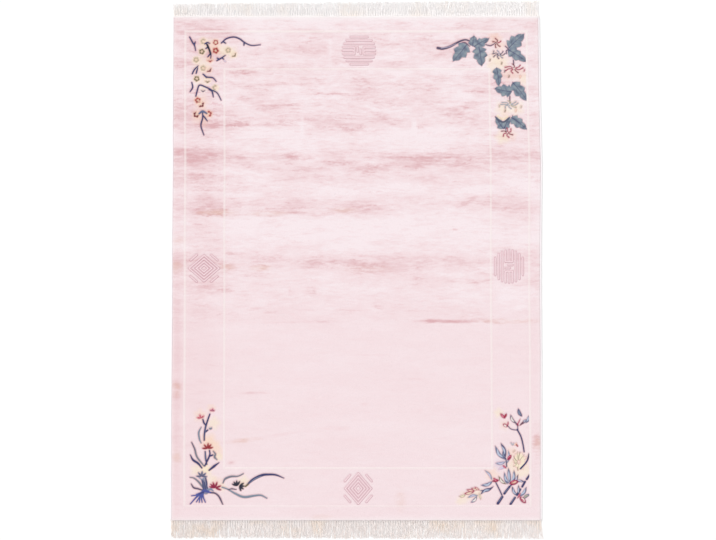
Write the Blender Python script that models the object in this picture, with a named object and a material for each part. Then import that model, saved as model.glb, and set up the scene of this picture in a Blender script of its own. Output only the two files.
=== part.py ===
"""A hand-knotted silk pile rug lying flat and face up, in metres, +Z up.

The origin is the centre of the rug's underside. +X runs across the rug to its right side, and +Y runs
along it to its far end. The knotted cloth is one solid with two carved frame lines. The overcast side
cords and the two woven end bands, which hold the warp fringe, are solids of their own.
"""

import math
import random

import bmesh
import bpy
from mathutils import Vector

# Driving sizes
RUG_WIDTH = 1.830
RUG_LENGTH = 2.500
RUG_THICKNESS = 0.010
SEAT_GAP = 0.0003

# The overcast cord along each side, and the flat-woven band across each end
CORD_WIDTH = 0.009
CORD_HEIGHT = 0.0085
CORD_CORNER = 0.0028
BAND_WIDTH = 0.008
BAND_HEIGHT = 0.0055
BAND_SIDE_CLEARANCE = 0.001

# The rounded shoulder of the pile at the rug's edge
PILE_SHOULDER = 0.003
SHOULDER_TURN = 0.3

# The two frame lines: a ridge of cream pile between two carved grooves
LINE_WIDTH = 0.008
LINE_BEVEL = 0.0015
CARVED_WIDTH = 0.0025
CARVED_DEPTH = 0.0016
FRAME_LINES = (
    # half width and half length of the line's centre
    {"name": "outer", "half_width": 0.854, "half_length": 1.178},
    {"name": "inner", "half_width": 0.659, "half_length": 0.992},
)

# How far each side stands out from a straight edge. A station runs from the near end, -1, to the far end, 1.
SIDE_WANDER = (
    {"station": -1.00, "left": 0.0000, "right": 0.0000},
    {"station": -0.75, "left": 0.0014, "right": 0.0020},
    {"station": -0.55, "left": 0.0024, "right": 0.0024},
    {"station": -0.35, "left": 0.0008, "right": 0.0040},
    {"station": -0.10, "left": 0.0002, "right": 0.0030},
    {"station": 0.10, "left": 0.0017, "right": 0.0046},
    {"station": 0.25, "left": 0.0004, "right": 0.0072},
    {"station": 0.42, "left": -0.0006, "right": 0.0095},
    {"station": 0.56, "left": 0.0010, "right": 0.0056},
    {"station": 0.75, "left": 0.0006, "right": 0.0022},
    {"station": 1.00, "left": 0.0000, "right": 0.0000},
)

# The warp fringe. Its length grows evenly from the rug's left corner to its right one.
LOCKS_PER_END = 150
LOCK_ROOT_HEIGHT = 0.0030
LENGTH_JITTER = 0.0025
SIDE_JITTER = 0.0003
FRINGES = (
    {"end": "near", "toward": -1, "left_length": 0.082, "right_length": 0.088, "steps": 3, "seed": 4},
    {"end": "far", "toward": 1, "left_length": 0.062, "right_length": 0.077, "steps": 2, "seed": 9},
)
# How a lock leans in groups with its neighbours: sideways reach at its tip, over a wavelength along the end
LOCK_SWAYS = (
    {"reach": 0.0048, "wavelength": 0.370, "phase": 0.6},
    {"reach": 0.0022, "wavelength": 0.128, "phase": 1.9},
)
# A lock's cross-section from root to tip
LOCK_SHAPE = (
    {"along": 0.0, "width": 0.0061, "height": LOCK_ROOT_HEIGHT},
    {"along": 0.5, "width": 0.0074, "height": 0.0028},
    {"along": 1.0, "width": 0.0050, "height": 0.0018},
)
LOCK_TOP_SHARE = 0.62

HALF_LENGTH = RUG_LENGTH / 2
CLOTH_HALF_WIDTH = RUG_WIDTH / 2 - CORD_WIDTH - SEAT_GAP
CLOTH_HALF_LENGTH = HALF_LENGTH - BAND_WIDTH - SEAT_GAP

FINISHES = {
    "silk_pile": {"color": (0.905, 0.735, 0.765, 1.0), "roughness": 0.55},
    "side_cord": {"color": (0.870, 0.735, 0.760, 1.0), "roughness": 0.70},
    "warp_cotton": {"color": (0.830, 0.760, 0.715, 1.0), "roughness": 0.85},
}


def clear_scene():
    """Removes whatever the file already holds."""
    for old in list(bpy.data.objects):
        bpy.data.objects.remove(old, do_unlink=True)


def finish_named(name):
    """The material of one kind of yarn, made on first use."""
    made = bpy.data.materials.get(name)
    if made is None:
        made = bpy.data.materials.new(name)
        made.use_nodes = True
        shader = made.node_tree.nodes["Principled BSDF"]
        shader.inputs["Base Color"].default_value = FINISHES[name]["color"]
        shader.inputs["Roughness"].default_value = FINISHES[name]["roughness"]
        shader.inputs["Metallic"].default_value = 0.0
    return made


def read_table(table, key, column, at):
    """A column of a table, read in a straight line between its rows."""
    for low, high in zip(table, table[1:]):
        if at <= high[key]:
            share = (at - low[key]) / (high[key] - low[key])
            return low[column] + (high[column] - low[column]) * share
    return table[-1][column]


def lie(x, y):
    """Where a point of the straight design really lies, since the rug's sides wander a little."""
    station = max(-1.0, min(1.0, y / CLOTH_HALF_LENGTH))
    side = "left" if x < 0 else "right"
    outward = read_table(SIDE_WANDER, "station", side, station)
    return x + x / CLOTH_HALF_WIDTH * outward, y


def side_stations():
    """The places along the rug, from near to far, where a side may turn."""
    return [row["station"] * CLOTH_HALF_LENGTH for row in SIDE_WANDER]


def show(name, mesh_in_progress, finish):
    """Turns a finished bmesh into one named, coloured object."""
    bmesh.ops.recalc_face_normals(mesh_in_progress, faces=mesh_in_progress.faces[:])
    mesh = bpy.data.meshes.new(name)
    mesh_in_progress.to_mesh(mesh)
    mesh_in_progress.free()
    piece = bpy.data.objects.new(name, mesh)
    bpy.context.scene.collection.objects.link(piece)
    piece.data.materials.append(finish_named(finish))
    return piece


def rectangle_ring(work, half_width, half_length, height):
    """One closed loop of points round the rug, with the same number of points at every size."""
    stations = [row["station"] for row in SIDE_WANDER]
    plan = [(half_width, station * half_length) for station in stations]
    plan += [(-half_width, station * half_length) for station in reversed(stations)]
    return [work.verts.new((*lie(x, y), height)) for x, y in plan]


def cloth_profile():
    """The rings of the cloth from its underside over its edge to the field, each with its height."""
    width, length, top = CLOTH_HALF_WIDTH, CLOTH_HALF_LENGTH, RUG_THICKNESS
    turn = SHOULDER_TURN * PILE_SHOULDER
    rings = [
        (width, length, 0.0),
        (width, length, top - PILE_SHOULDER),
        (width - turn, length - turn, top - turn),
        (width - PILE_SHOULDER, length - PILE_SHOULDER, top),
    ]
    half_line = LINE_WIDTH / 2
    carved = top - CARVED_DEPTH
    steps = (
        (half_line + CARVED_WIDTH, top),
        (half_line, carved),
        (half_line - LINE_BEVEL, top),
        (LINE_BEVEL - half_line, top),
        (-half_line, carved),
        (-half_line - CARVED_WIDTH, top),
    )
    for line in FRAME_LINES:
        for offset, height in steps:
            rings.append((line["half_width"] + offset, line["half_length"] + offset, height))
    return rings


def build_cloth():
    """The knotted cloth: woven back and cut pile as one flat solid, with both frame lines carved."""
    work = bmesh.new()
    loops = [rectangle_ring(work, *ring) for ring in cloth_profile()]
    count = len(loops[0])
    for lower, upper in zip(loops, loops[1:]):
        for i in range(count):
            j = (i + 1) % count
            work.faces.new((lower[i], lower[j], upper[j], upper[i]))
    work.faces.new(reversed(loops[0]))
    work.faces.new(loops[-1])
    return show("pile_cloth", work, "silk_pile")


def build_side_cord(name, side):
    """An overcast cord along one side, with its corners rounded off, ending against the end bands."""
    inner = CLOTH_HALF_WIDTH + SEAT_GAP
    outer = inner + CORD_WIDTH
    section = (
        (inner, 0.0),
        (outer - CORD_CORNER, 0.0),
        (outer, CORD_CORNER),
        (outer, CORD_HEIGHT - CORD_CORNER),
        (outer - CORD_CORNER, CORD_HEIGHT),
        (inner + CORD_CORNER / 2, CORD_HEIGHT),
        (inner, CORD_HEIGHT - CORD_CORNER / 2),
    )
    work = bmesh.new()
    loops = [
        [work.verts.new((*lie(side * across, along), height)) for across, height in section]
        for along in side_stations()
    ]
    count = len(section)
    for near, far in zip(loops, loops[1:]):
        for i in range(count):
            j = (i + 1) % count
            work.faces.new((near[i], near[j], far[j], far[i]))
    work.faces.new(loops[0])
    work.faces.new(reversed(loops[-1]))
    return show(name, work, "side_cord")


def loose_locks(fringe):
    """How much longer and how far aside each lock of one end falls than its neighbours."""
    chance = random.Random(fringe["seed"])
    return [
        {"longer": chance.uniform(-LENGTH_JITTER, LENGTH_JITTER), "aside": chance.uniform(-SIDE_JITTER, SIDE_JITTER)}
        for _ in range(LOCKS_PER_END)
    ]


def place_lock_step(corners, lock, along, fringe):
    """Moves one cross-section of a lock out along its leaning line."""
    centre_x = sum(corner.co.x for corner in corners) / len(corners)
    share = (centre_x / RUG_WIDTH) + 0.5
    length = fringe["left_length"] + (fringe["right_length"] - fringe["left_length"]) * share
    length += lock["longer"]
    sway = lock["aside"] + sum(
        wave["reach"] * math.sin(math.tau * centre_x / wave["wavelength"] + wave["phase"] * fringe["toward"])
        for wave in LOCK_SWAYS
    )
    width = read_table(LOCK_SHAPE, "along", "width", along)
    height = read_table(LOCK_SHAPE, "along", "height", along)
    lean = sway * along * along
    for corner in corners:
        right = 1 if corner.co.x > centre_x else -1
        raised = corner.co.z > LOCK_ROOT_HEIGHT / 2
        half = width / 2 * (LOCK_TOP_SHARE if raised else 1.0)
        corner.co = Vector(
            (
                centre_x + lean + right * half,
                fringe["toward"] * (HALF_LENGTH + length * along),
                height if raised else 0.0,
            )
        )


def build_fringed_band(fringe):
    """A flat-woven end band with its warp ends, gathered in locks that lie on the floor side by side."""
    half_width = RUG_WIDTH / 2 - BAND_SIDE_CLEARANCE
    toward = fringe["toward"]
    inner, outer = toward * (HALF_LENGTH - BAND_WIDTH), toward * HALF_LENGTH
    section = ((inner, 0.0), (outer, 0.0), (outer, LOCK_ROOT_HEIGHT), (outer, BAND_HEIGHT), (inner, BAND_HEIGHT))
    work = bmesh.new()
    left, right = (
        [work.verts.new((side * half_width, y, z)) for y, z in section] for side in (-1, 1)
    )
    count = len(section)
    walls = [
        work.faces.new((left[i], left[(i + 1) % count], right[(i + 1) % count], right[i]))
        for i in range(count)
    ]
    work.faces.new(left)
    work.faces.new(reversed(right))

    root_wall = walls[1]
    long_edges = [edge for edge in root_wall.edges if abs(edge.verts[0].co.x - edge.verts[1].co.x) > half_width]
    bmesh.ops.subdivide_edges(work, edges=long_edges, cuts=2 * LOCKS_PER_END, use_grid_fill=True)
    roots = [
        face
        for face in work.faces
        if len(face.verts) == 4
        and abs(face.calc_center_median().y - outer) < SEAT_GAP
        and face.calc_center_median().z < LOCK_ROOT_HEIGHT
    ]
    roots.sort(key=lambda face: face.calc_center_median().x)
    roots = roots[1::2]
    locks = loose_locks(fringe)
    for step in range(1, fringe["steps"] + 1):
        made = bmesh.ops.extrude_discrete_faces(work, faces=roots)
        roots = sorted(made["faces"], key=lambda face: face.calc_center_median().x)
        for face, lock in zip(roots, locks):
            place_lock_step(face.verts[:], lock, step / fringe["steps"], fringe)
    return show(fringe["end"] + "_fringed_band", work, "warp_cotton")


def main():
    clear_scene()
    build_cloth()
    build_side_cord("left_side_cord", -1)
    build_side_cord("right_side_cord", 1)
    for fringe in FRINGES:
        build_fringed_band(fringe)


main()
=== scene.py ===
import math
import random

import bmesh
import bpy
import numpy as np
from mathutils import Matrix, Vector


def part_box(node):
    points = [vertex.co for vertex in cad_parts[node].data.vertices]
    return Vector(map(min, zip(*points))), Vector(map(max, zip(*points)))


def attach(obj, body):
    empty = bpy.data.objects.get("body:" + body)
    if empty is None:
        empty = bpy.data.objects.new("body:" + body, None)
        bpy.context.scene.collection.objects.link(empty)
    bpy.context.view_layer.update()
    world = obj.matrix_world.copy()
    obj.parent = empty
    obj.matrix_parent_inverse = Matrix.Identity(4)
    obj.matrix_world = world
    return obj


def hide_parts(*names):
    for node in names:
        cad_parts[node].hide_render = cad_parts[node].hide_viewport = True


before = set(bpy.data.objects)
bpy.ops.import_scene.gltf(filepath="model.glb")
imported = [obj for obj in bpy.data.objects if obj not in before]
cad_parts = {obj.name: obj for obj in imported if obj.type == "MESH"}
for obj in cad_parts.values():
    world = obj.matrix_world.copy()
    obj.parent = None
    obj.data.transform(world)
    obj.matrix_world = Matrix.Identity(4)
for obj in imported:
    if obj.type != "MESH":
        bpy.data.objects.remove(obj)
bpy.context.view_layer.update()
bpy.ops.object.select_all(action="DESELECT")


# The view: the rug is photographed from straight above through a long lens, from a touch
# nearer its near end, so that its far end looks very slightly narrower.
VIEW_DISTANCE = 5.5
VIEW_TILT = math.radians(1.65)
VIEW_LENS_MM = 55.80
VIEW_SENSOR_MM = 36.0
VIEW_AIM = (0.0095, -0.0160)


def added(name, data):
    """Puts a new object in the scene, at the origin and unturned."""
    thing = bpy.data.objects.new(name, data)
    bpy.context.scene.collection.objects.link(thing)
    return thing


camera = added("rug_camera", bpy.data.cameras.new("rug_camera"))
camera.data.lens = VIEW_LENS_MM
camera.data.sensor_width = VIEW_SENSOR_MM
camera.location = (
    VIEW_AIM[0],
    VIEW_AIM[1] - VIEW_DISTANCE * math.sin(VIEW_TILT),
    VIEW_DISTANCE * math.cos(VIEW_TILT),
)
camera.rotation_euler = (VIEW_TILT, 0.0, 0.0)
bpy.context.scene.camera = camera
bpy.context.scene.view_settings.view_transform = "Standard"


# The studio: a plain white floor under an even white sky, and a broad soft lamp a long way
# beyond the rug's far left corner, whose low light picks out the carving.
FLOOR_SIZE = 16.0
FLOOR_DROP = 0.0004
FLOOR_WHITE = (0.93, 0.93, 0.93, 1.0)
SKY_STRENGTH = 0.765
LAMP_STRENGTH = 1.58
LAMP_SPREAD = math.radians(40.0)
LAMP_HEIGHT = math.radians(46.0)
LAMP_TURN = math.radians(35.0)
LAMP_PLACE = (-3.0, 4.0, 3.9)


def new_material(name, settings):
    """A material, with its node tree and its shader, which starts with a few plain settings."""
    material = bpy.data.materials.new(name)
    material.use_nodes = True
    shader = material.node_tree.nodes["Principled BSDF"]
    for key, value in settings.items():
        shader.inputs[key].default_value = value
    return material, material.node_tree, shader


bpy.ops.mesh.primitive_plane_add(size=FLOOR_SIZE, location=(0.0, 0.0, -FLOOR_DROP))
floor = bpy.context.object
floor.name = "floor"
bpy.ops.object.transform_apply(location=True, rotation=True, scale=True)
floor.data.materials.append(new_material("floor_white", {"Base Color": FLOOR_WHITE, "Roughness": 0.9})[0])

lamp = added("soft_lamp", bpy.data.lights.new("soft_lamp", "SUN"))
lamp.data.energy = LAMP_STRENGTH
lamp.data.angle = LAMP_SPREAD
lamp.location = LAMP_PLACE
lamp.rotation_euler = (LAMP_HEIGHT - math.pi / 2, 0.0, LAMP_TURN)

sky = bpy.data.worlds.new("studio_sky")
sky.use_nodes = True
sky.node_tree.nodes["Background"].inputs["Color"].default_value = (1.0, 1.0, 1.0, 1.0)
sky.node_tree.nodes["Background"].inputs["Strength"].default_value = SKY_STRENGTH
bpy.context.scene.world = sky


# The knotting chart. A weaver ties the knots row by row to a paper chart, so each figure has
# a fixed place between the rug's two frame lines, and the clippers carve along its edge.
# Chart sizes are millimetres: u runs in from a side's outer frame line and v in from an end's.
CLOTH_HALF_WIDTH = 0.9057
CLOTH_HALF_LENGTH = 1.2417
OUTER_LINE = (0.854, 1.178)
INNER_LINE = (0.659, 0.992)
KNOT_BLEND_MM = 2.2
CARVE_REACH_MM = 8.0
NO_FIGURE_MM = 99.0
DYE_PATCH_MM = 13.0
BLOSSOM_REACH_MM = 34.0
BLOSSOM_PETAL_MM = 21.0
BLOSSOM_HEART_MM = 11.0
BLOSSOM_RING_MM = 9.8
CURLED_WIDTHS_MM = (5.4, 4.6, 6.0)
ORCHID_WIDTHS_MM = (5.0, 10.0, 11.0, 7.0)

SIDE_STATIONS = (-1.00, -0.75, -0.55, -0.35, -0.10, 0.10, 0.25, 0.42, 0.56, 0.75, 1.00)
LEFT_WANDER_MM = (0.0, 1.4, 2.4, 0.8, 0.2, 1.7, 0.4, -0.6, 1.0, 0.6, 0.0)
RIGHT_WANDER_MM = (0.0, 2.0, 2.4, 4.0, 3.0, 4.6, 7.2, 9.5, 5.6, 2.2, 0.0)
SIDE_STRAYS = (
    # where across the rug a frame line strays and by what share, then from where to where along
    # the rug and by how many mm
    (((-0.9057, 0.0), (-0.854, 1.0), (-0.659, 1.0), (-0.45, 0.0)), (-1.1, 1.1), (11.0, 5.0)),
    (((0.45, 0.0), (0.659, 1.0), (0.854, 0.0)), (-1.1, 0.6), (10.0, 2.5)),
    (((0.659, 0.0), (0.854, 1.0), (0.9057, 0.0)), (-1.1, 1.0), (3.5, -5.0)),
)
FAR_STRAY_MM = ((0.70, 0.0), (0.992, 9.0), (1.178, 6.5), (1.2417, 0.0))

STUDIO_GAIN = 1.14
YARNS = {
    # each as it looks in the studio's light
    "navy": (64, 64, 106),
    "ink": (38, 40, 58),
    "royal": (84, 90, 156),
    "plum": (92, 80, 104),
    "storm": (100, 107, 138),
    "slate": (132, 142, 166),
    "leaf": (127, 139, 155),
    "leaf_light": (158, 168, 173),
    "leaf_dark": (88, 93, 112),
    "grey": (158, 164, 173),
    "pewter": (126, 126, 138),
    "mist": (194, 203, 224),
    "lilac": (210, 202, 226),
    "olive": (118, 108, 78),
    "moss": (182, 174, 146),
    "butter": (250, 233, 206),
    "straw": (240, 213, 182),
    "cream": (252, 243, 236),
    "peach": (250, 219, 199),
    "apricot": (246, 202, 178),
    "madder": (168, 56, 60),
    "wine": (116, 28, 46),
    "crimson": (160, 28, 76),
    "rose": (220, 128, 146),
    "frame_cream": (252, 242, 239),
    "rim_pale_and_painted_light": (253, 250, 249),
}


def linear_colour(name):
    """The share of light that a yarn gives back, from how it looks in the studio's light."""
    return np.array([(c / 255.0) ** 2.2 / STUDIO_GAIN for c in YARNS[name]])


def lie(x, y):
    """Where a point of the straight chart lies on the rug, whose sides and lines wander a little."""
    station = np.clip(y / CLOTH_HALF_LENGTH, -1.0, 1.0)
    left = np.interp(station, SIDE_STATIONS, LEFT_WANDER_MM)
    right = np.interp(station, SIDE_STATIONS, RIGHT_WANDER_MM)
    moved = x / CLOTH_HALF_WIDTH * np.where(x < 0, left, right)
    for across, along, stray_mm in SIDE_STRAYS:
        moved += np.interp(x, *zip(*across)) * np.interp(y, along, stray_mm)
    return x + moved / 1000.0, y - np.interp(y, *zip(*FAR_STRAY_MM)) / 1000.0


def blank_chart(x, y, side, end, shift_mm=(0.0, 0.0)):
    """A chart with no figure on it yet, set out from one corner of the outer frame line."""
    x, y = lie(x, y)
    return {
        "u": (OUTER_LINE[0] - side * x) * 1000.0 + side * shift_mm[0],
        "v": (OUTER_LINE[1] - end * y) * 1000.0 + end * shift_mm[1],
        "dye": np.zeros((x.size, 3)),
        "cover": np.zeros(x.size),
        "edge": np.full(x.size, NO_FIGURE_MM),
    }


def near(chart, points, reach):
    """The knots that lie within reach of a few points' box, and their places."""
    low = np.min(points, axis=0) - reach
    high = np.max(points, axis=0) + reach
    inside = (chart["u"] > low[0]) & (chart["u"] < high[0])
    at = np.nonzero(inside & (chart["v"] > low[1]) & (chart["v"] < high[1]))[0]
    return at, np.stack([chart["u"][at], chart["v"][at]], axis=1)


def near_round(chart, u, v, reach):
    """The knots within reach of one point, how far out from it they lie and which way."""
    at, place = near(chart, [(u, v)], reach)
    out_u, out_v = place[:, 0] - u, place[:, 1] - v
    return at, np.hypot(out_u, out_v), np.arctan2(out_v, out_u)


def knot_in(chart, at, distance, yarn, strength=1.0, carved=True, blend=KNOT_BLEND_MM):
    """Ties yarn in where the distance to a figure's outline is below zero."""
    cover = np.clip(0.5 - distance / blend, 0.0, 1.0) * strength
    before = chart["cover"][at] * (1.0 - cover)
    total = cover + before
    share = np.where(total > 0.0, cover / np.maximum(total, 1e-6), 0.0)[:, None]
    chart["dye"][at] = linear_colour(yarn) * share + chart["dye"][at] * (1.0 - share)
    chart["cover"][at] = total
    if carved:
        chart["edge"][at] = np.minimum(chart["edge"][at], distance)


def smooth_line(points, steps=7):
    """A smooth line through a few given points, as u, v, u, v and so on."""
    known = np.array(points, float).reshape(-1, 2)
    known = np.vstack([2 * known[0] - known[1], known, 2 * known[-1] - known[-2]])
    t = np.linspace(0.0, 1.0, steps, endpoint=False)[:, None]
    line = []
    for a, b, c, d in zip(known, known[1:], known[2:], known[3:]):
        bend = (2 * a - 5 * b + 4 * c - d) * t**2 + (3 * b - a - 3 * c + d) * t**3
        line.append(0.5 * (2 * b + (c - a) * t + bend))
    line.append(known[-2][None, :])
    return np.vstack(line)


def stroke(chart, points, widths, yarn, strength=1.0, bellied=False, carved=True):
    """A stem, or a bellied leaf blade, along a smooth line, its width running from first to last."""
    line = smooth_line(points)
    steps = np.hypot(*np.diff(line, axis=0).T)
    along = np.concatenate([[0.0], np.cumsum(steps)]) / steps.sum()
    half = np.interp(along, np.linspace(0.0, 1.0, len(widths)), widths) / 2.0
    if bellied:
        half = half * np.sin(math.pi * np.clip(along, 0.02, 0.98)) ** 0.7
    at, place = near(chart, line, max(widths) + CARVE_REACH_MM)
    best = np.full(at.size, NO_FIGURE_MM)
    for a, b, wide_a, wide_b in zip(line, line[1:], half, half[1:]):
        run = b - a
        share = np.clip(((place - a) @ run) / max(run @ run, 1e-9), 0.0, 1.0)
        off = np.hypot(*(place - a - share[:, None] * run).T)
        best = np.minimum(best, off - (wide_a + (wide_b - wide_a) * share))
    knot_in(chart, at, best, yarn, strength, carved)


def outlined(chart, ends, width, rim, heart, bow=0.0):
    """A pointed leaf or petal with a rim of one yarn round a paler heart."""
    base, tip = np.array(ends, float).reshape(2, 2)
    across = np.array([tip[1] - base[1], base[0] - tip[0]])
    middle = 0.5 * (base + tip) + bow * across
    stroke(chart, (base, middle, tip), (width, width), rim, 0.92, bellied=True)
    off_side = 0.10 * width * across / np.hypot(*(tip - base))
    inner = (0.8 * base + 0.2 * tip + off_side, middle + off_side, 0.2 * base + 0.8 * tip)
    stroke(chart, inner, (0.56 * width, 0.5 * width), heart, 0.9, bellied=True, carved=False)


def vine_leaf(chart, ends, width, lobes):
    """A lobed leaf, darker at its tip and round its veins, in unevenly dyed yarn."""
    base, tip = np.array(ends, float).reshape(2, 2)
    length = np.hypot(*(tip - base))
    axis = (tip - base) / length
    side = np.array([-axis[1], axis[0]])
    at, place = near(chart, [base, tip], width * 0.7 + CARVE_REACH_MM)
    along = (place - base) @ axis / length
    across = (place - base) @ side
    inside = np.clip(along, 0.0, 1.0)
    body = np.sin(math.pi * inside**0.62) ** 0.8
    point = (lobes * inside * (1.0 + 0.04 * np.sign(across)) + 0.15) % 1.0
    notch = 0.64 + 0.40 * np.where(point < 0.7, point / 0.7, (1.0 - point) / 0.3) ** 0.8
    beyond = np.maximum(-along, along - 1.0) * length
    gap = np.maximum(np.abs(across) - width / 2.0 * body * notch, beyond)
    u, v = place.T / DYE_PATCH_MM
    waves = np.sin(1.9 * u + 2.3 * np.sin(1.1 * v)) + np.sin(2.3 * v + 1.7 * np.sin(1.3 * u))
    shade = 0.5 + 0.25 * waves
    dark = np.clip(1.5 * inside - 0.95, 0.0, 1.0) + np.clip(0.8 - 2.4 * shade, 0.0, 1.0)
    dark = dark + 0.35 * np.clip(1.0 + (gap - 1.0) / 4.0, 0.0, 1.0)
    knot_in(chart, at, gap * 0.85, "leaf")
    knot_in(chart, at, gap + 2.0, "leaf_light", 0.65 * np.clip(2.2 * shade - 0.9, 0.0, 1.0), False)
    knot_in(chart, at, gap + 0.5, "leaf_dark", 0.75 * np.clip(dark, 0.0, 1.0), False)
    rib = (base, base + 0.45 * (tip - base) + 2.0 * side, tip - 0.08 * (tip - base))
    stroke(chart, rib, (5.0, 3.4, 1.8), "navy", 0.7, carved=False)
    for share, hand in ((0.2, 1.0), (0.3, -1.0), (0.48, 1.0), (0.56, -1.0), (0.74, 1.0)):
        root = base + share * (tip - base)
        spread = math.sin(math.pi * (share + 0.1))
        end = root + axis * length * 0.15 + side * hand * width * 0.34 * spread
        stroke(chart, (root, end), (3.0, 1.6), "leaf_dark", 0.6, carved=False)


def glow(chart, *patches):
    """Pale petals so close to the ground's pink that they only tint it."""
    for u, v, radius, yarn, strength in patches:
        at, out, angle = near_round(chart, u, v, radius * 1.6)
        gap = out - radius * (0.72 + 0.22 * np.cos(3 * angle + u) * np.cos(2 * angle + v))
        knot_in(chart, at, gap, yarn, strength, False, blend=0.8 * radius)


def plum_blossom(chart, u, v, petal, ring, turn, open_share, bold):
    """A pale blossom with an uneven ring of stamens, or with the part of it that shows."""
    at, out, angle = near_round(chart, u, v, BLOSSOM_REACH_MM)
    angle = angle - turn
    petals = out - BLOSSOM_PETAL_MM * (0.84 + 0.16 * np.abs(np.cos(2.5 * angle)))
    knot_in(chart, at, petals, petal, 0.6, False, blend=8.0)
    knot_in(chart, at, out - BLOSSOM_HEART_MM, "straw", 0.55 * open_share, False, blend=4.0)
    stamens = np.abs(out - BLOSSOM_RING_MM) - bold * (0.85 + 0.35 * np.cos(5.0 * angle))
    if open_share < 1.0:
        hidden = np.abs((angle + math.pi) % math.tau - math.pi) - math.pi * open_share
        stamens = np.maximum(stamens, hidden * 10.0)
    knot_in(chart, at, stamens, ring, 0.95)


def spider_flower(chart, u, v, wide, tall, yarn, second, count, turn):
    """A flower of thin curling stamens round a pale eye."""
    stroke(chart, (u, v, u + 1, v + 2), (11.0, 11.0), "cream", 0.8, carved=False)
    for i in range(count):
        angle = turn + math.tau * i / count
        bend = 0.24 + 0.2 * math.sin(2.4 * i + turn)
        points = []
        for out, swing in ((0.22, 0.0), (0.6, -0.3 * bend), (1.0, bend)):
            points.append(u + out * (math.cos(angle + swing) * wide))
            points.append(v + out * (math.sin(angle + swing) * tall))
        stroke(chart, points, CURLED_WIDTHS_MM, second if i % 3 == 2 else yarn, 0.95)


def orchid(chart, u, v, radius, yarn, dark, turns):
    """A fan of short fat petals, each darker along its middle."""
    for turn in turns:
        out = np.array([math.sin(turn), math.cos(turn)]) * radius
        root, tip = np.array([u, v]) + 0.12 * out, np.array([u, v]) + out
        stroke(chart, (root, tip), ORCHID_WIDTHS_MM, yarn, 0.92)
        stroke(chart, (root, 0.3 * root + 0.7 * tip), (3.0, 5.0), dark, 0.8, carved=False)


def draw_far_left_spray(chart):
    """A flowering plum: broken navy twigs with small ringed blossoms between them."""
    glow(
        chart,
        (100, 80, 46, "butter", 0.5), (150, 84, 40, "apricot", 0.5), (190, 98, 38, "butter", 0.6),
        (76, 170, 52, "butter", 0.45), (84, 250, 44, "butter", 0.3), (86, 360, 42, "peach", 0.45),
        (84, 425, 52, "peach", 0.5), (225, 112, 40, "butter", 0.4),
    )
    blossoms = (
        (90, 56, "butter", "moss", 3.4, 0.7, 2.4), (152, 61, "peach", "madder", 0.4, 1, 3.1),
        (83, 107, "butter", "olive", 1.2, 1, 4), (152, 102, "apricot", "madder", 2.6, 1, 5.1),
        (214, 100, "butter", "moss", 2, 1, 3), (240, 121, "butter", "olive", 0.8, 0.4, 3.4),
        (55, 148, "butter", "moss", 4, 1, 3), (124, 146, "apricot", "madder", 1.5, 0.3, 3.8),
        (90, 190, "butter", "moss", 1, 1, 2.8), (117, 196, "peach", "wine", 0.9, 0.4, 4.2),
        (58, 243, "butter", "olive", 0.4, 1, 3.8), (112, 250, "butter", "olive", 1.6, 0.34, 3.2),
        (90, 296, "cream", "plum", 1.6, 0.34, 3.2), (150, 288, "butter", "moss", 3.4, 0.6, 3.4),
        (64, 351, "apricot", "madder", 2, 1, 4), (80, 371, "peach", "wine", 0.8, 0.5, 5),
        (57, 422, "peach", "wine", 2.4, 0.7, 5), (119, 418, "apricot", "madder", -0.3, 0.6, 4.4),
    )
    for blossom in blossoms:
        plum_blossom(chart, *blossom)
    for u, v in ((158, 98), (86, 112), (60, 355), (54, 246)):
        stroke(chart, ((u, v), (u + 3, v + 3)), (4.6, 3.6), "wine" if u in (158, 60) else "olive", 0.8)
    twigs = (
        (22, 34, 36, 60, 47, 78, 52, 102), (45, 74, 50, 58), (98, 68, 110, 62, 122, 66),
        (106, 68, 118, 92, 128, 118, 127, 140), (112, 86, 102, 92), (127, 116, 112, 134),
        (180, 64, 206, 42, 242, 34, 272, 44, 296, 62, 330, 76, 374, 73), (190, 58, 202, 66),
        (294, 60, 292, 76), (158, 152, 176, 142, 200, 126), (184, 138, 192, 146), (160, 140, 172, 146),
        (36, 218, 46, 198, 65, 178), (55, 216, 63, 188), (89, 220, 108, 234, 138, 238, 155, 256),
        (96, 224, 106, 238), (34, 262, 38, 286, 25, 308),
        (54, 330, 61, 302, 72, 275, 102, 284, 134, 300, 160, 314, 180, 350), (128, 296, 136, 310, 141, 334),
        (88, 412, 88, 440, 80, 478, 95, 524), (92, 428, 112, 454),
    )
    for twig in twigs:
        stroke(chart, twig, (7.2, 8.2, 5.2), "navy")
    stroke(chart, (110, 74, 120, 98, 126, 122), (11, 10, 8), "ink")
    stroke(chart, (122, 296, 132, 302), (11, 9), "navy")
    stroke(chart, (70, 418, 88, 406, 108, 416), (8, 13, 8), "storm")
    stroke(chart, (194, 152, 202, 158), (5, 4), "lilac", 0.9)
    for i in range(6):
        u, v = 134 + 10 * i, 356 + 4 * (i % 2) + 2 * i
        stroke(chart, ((u, v + 12), (u + 6, v + 4), (u + 8, v + 14)), (2.6, 2.2), "rose", 0.4, carved=False)


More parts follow.
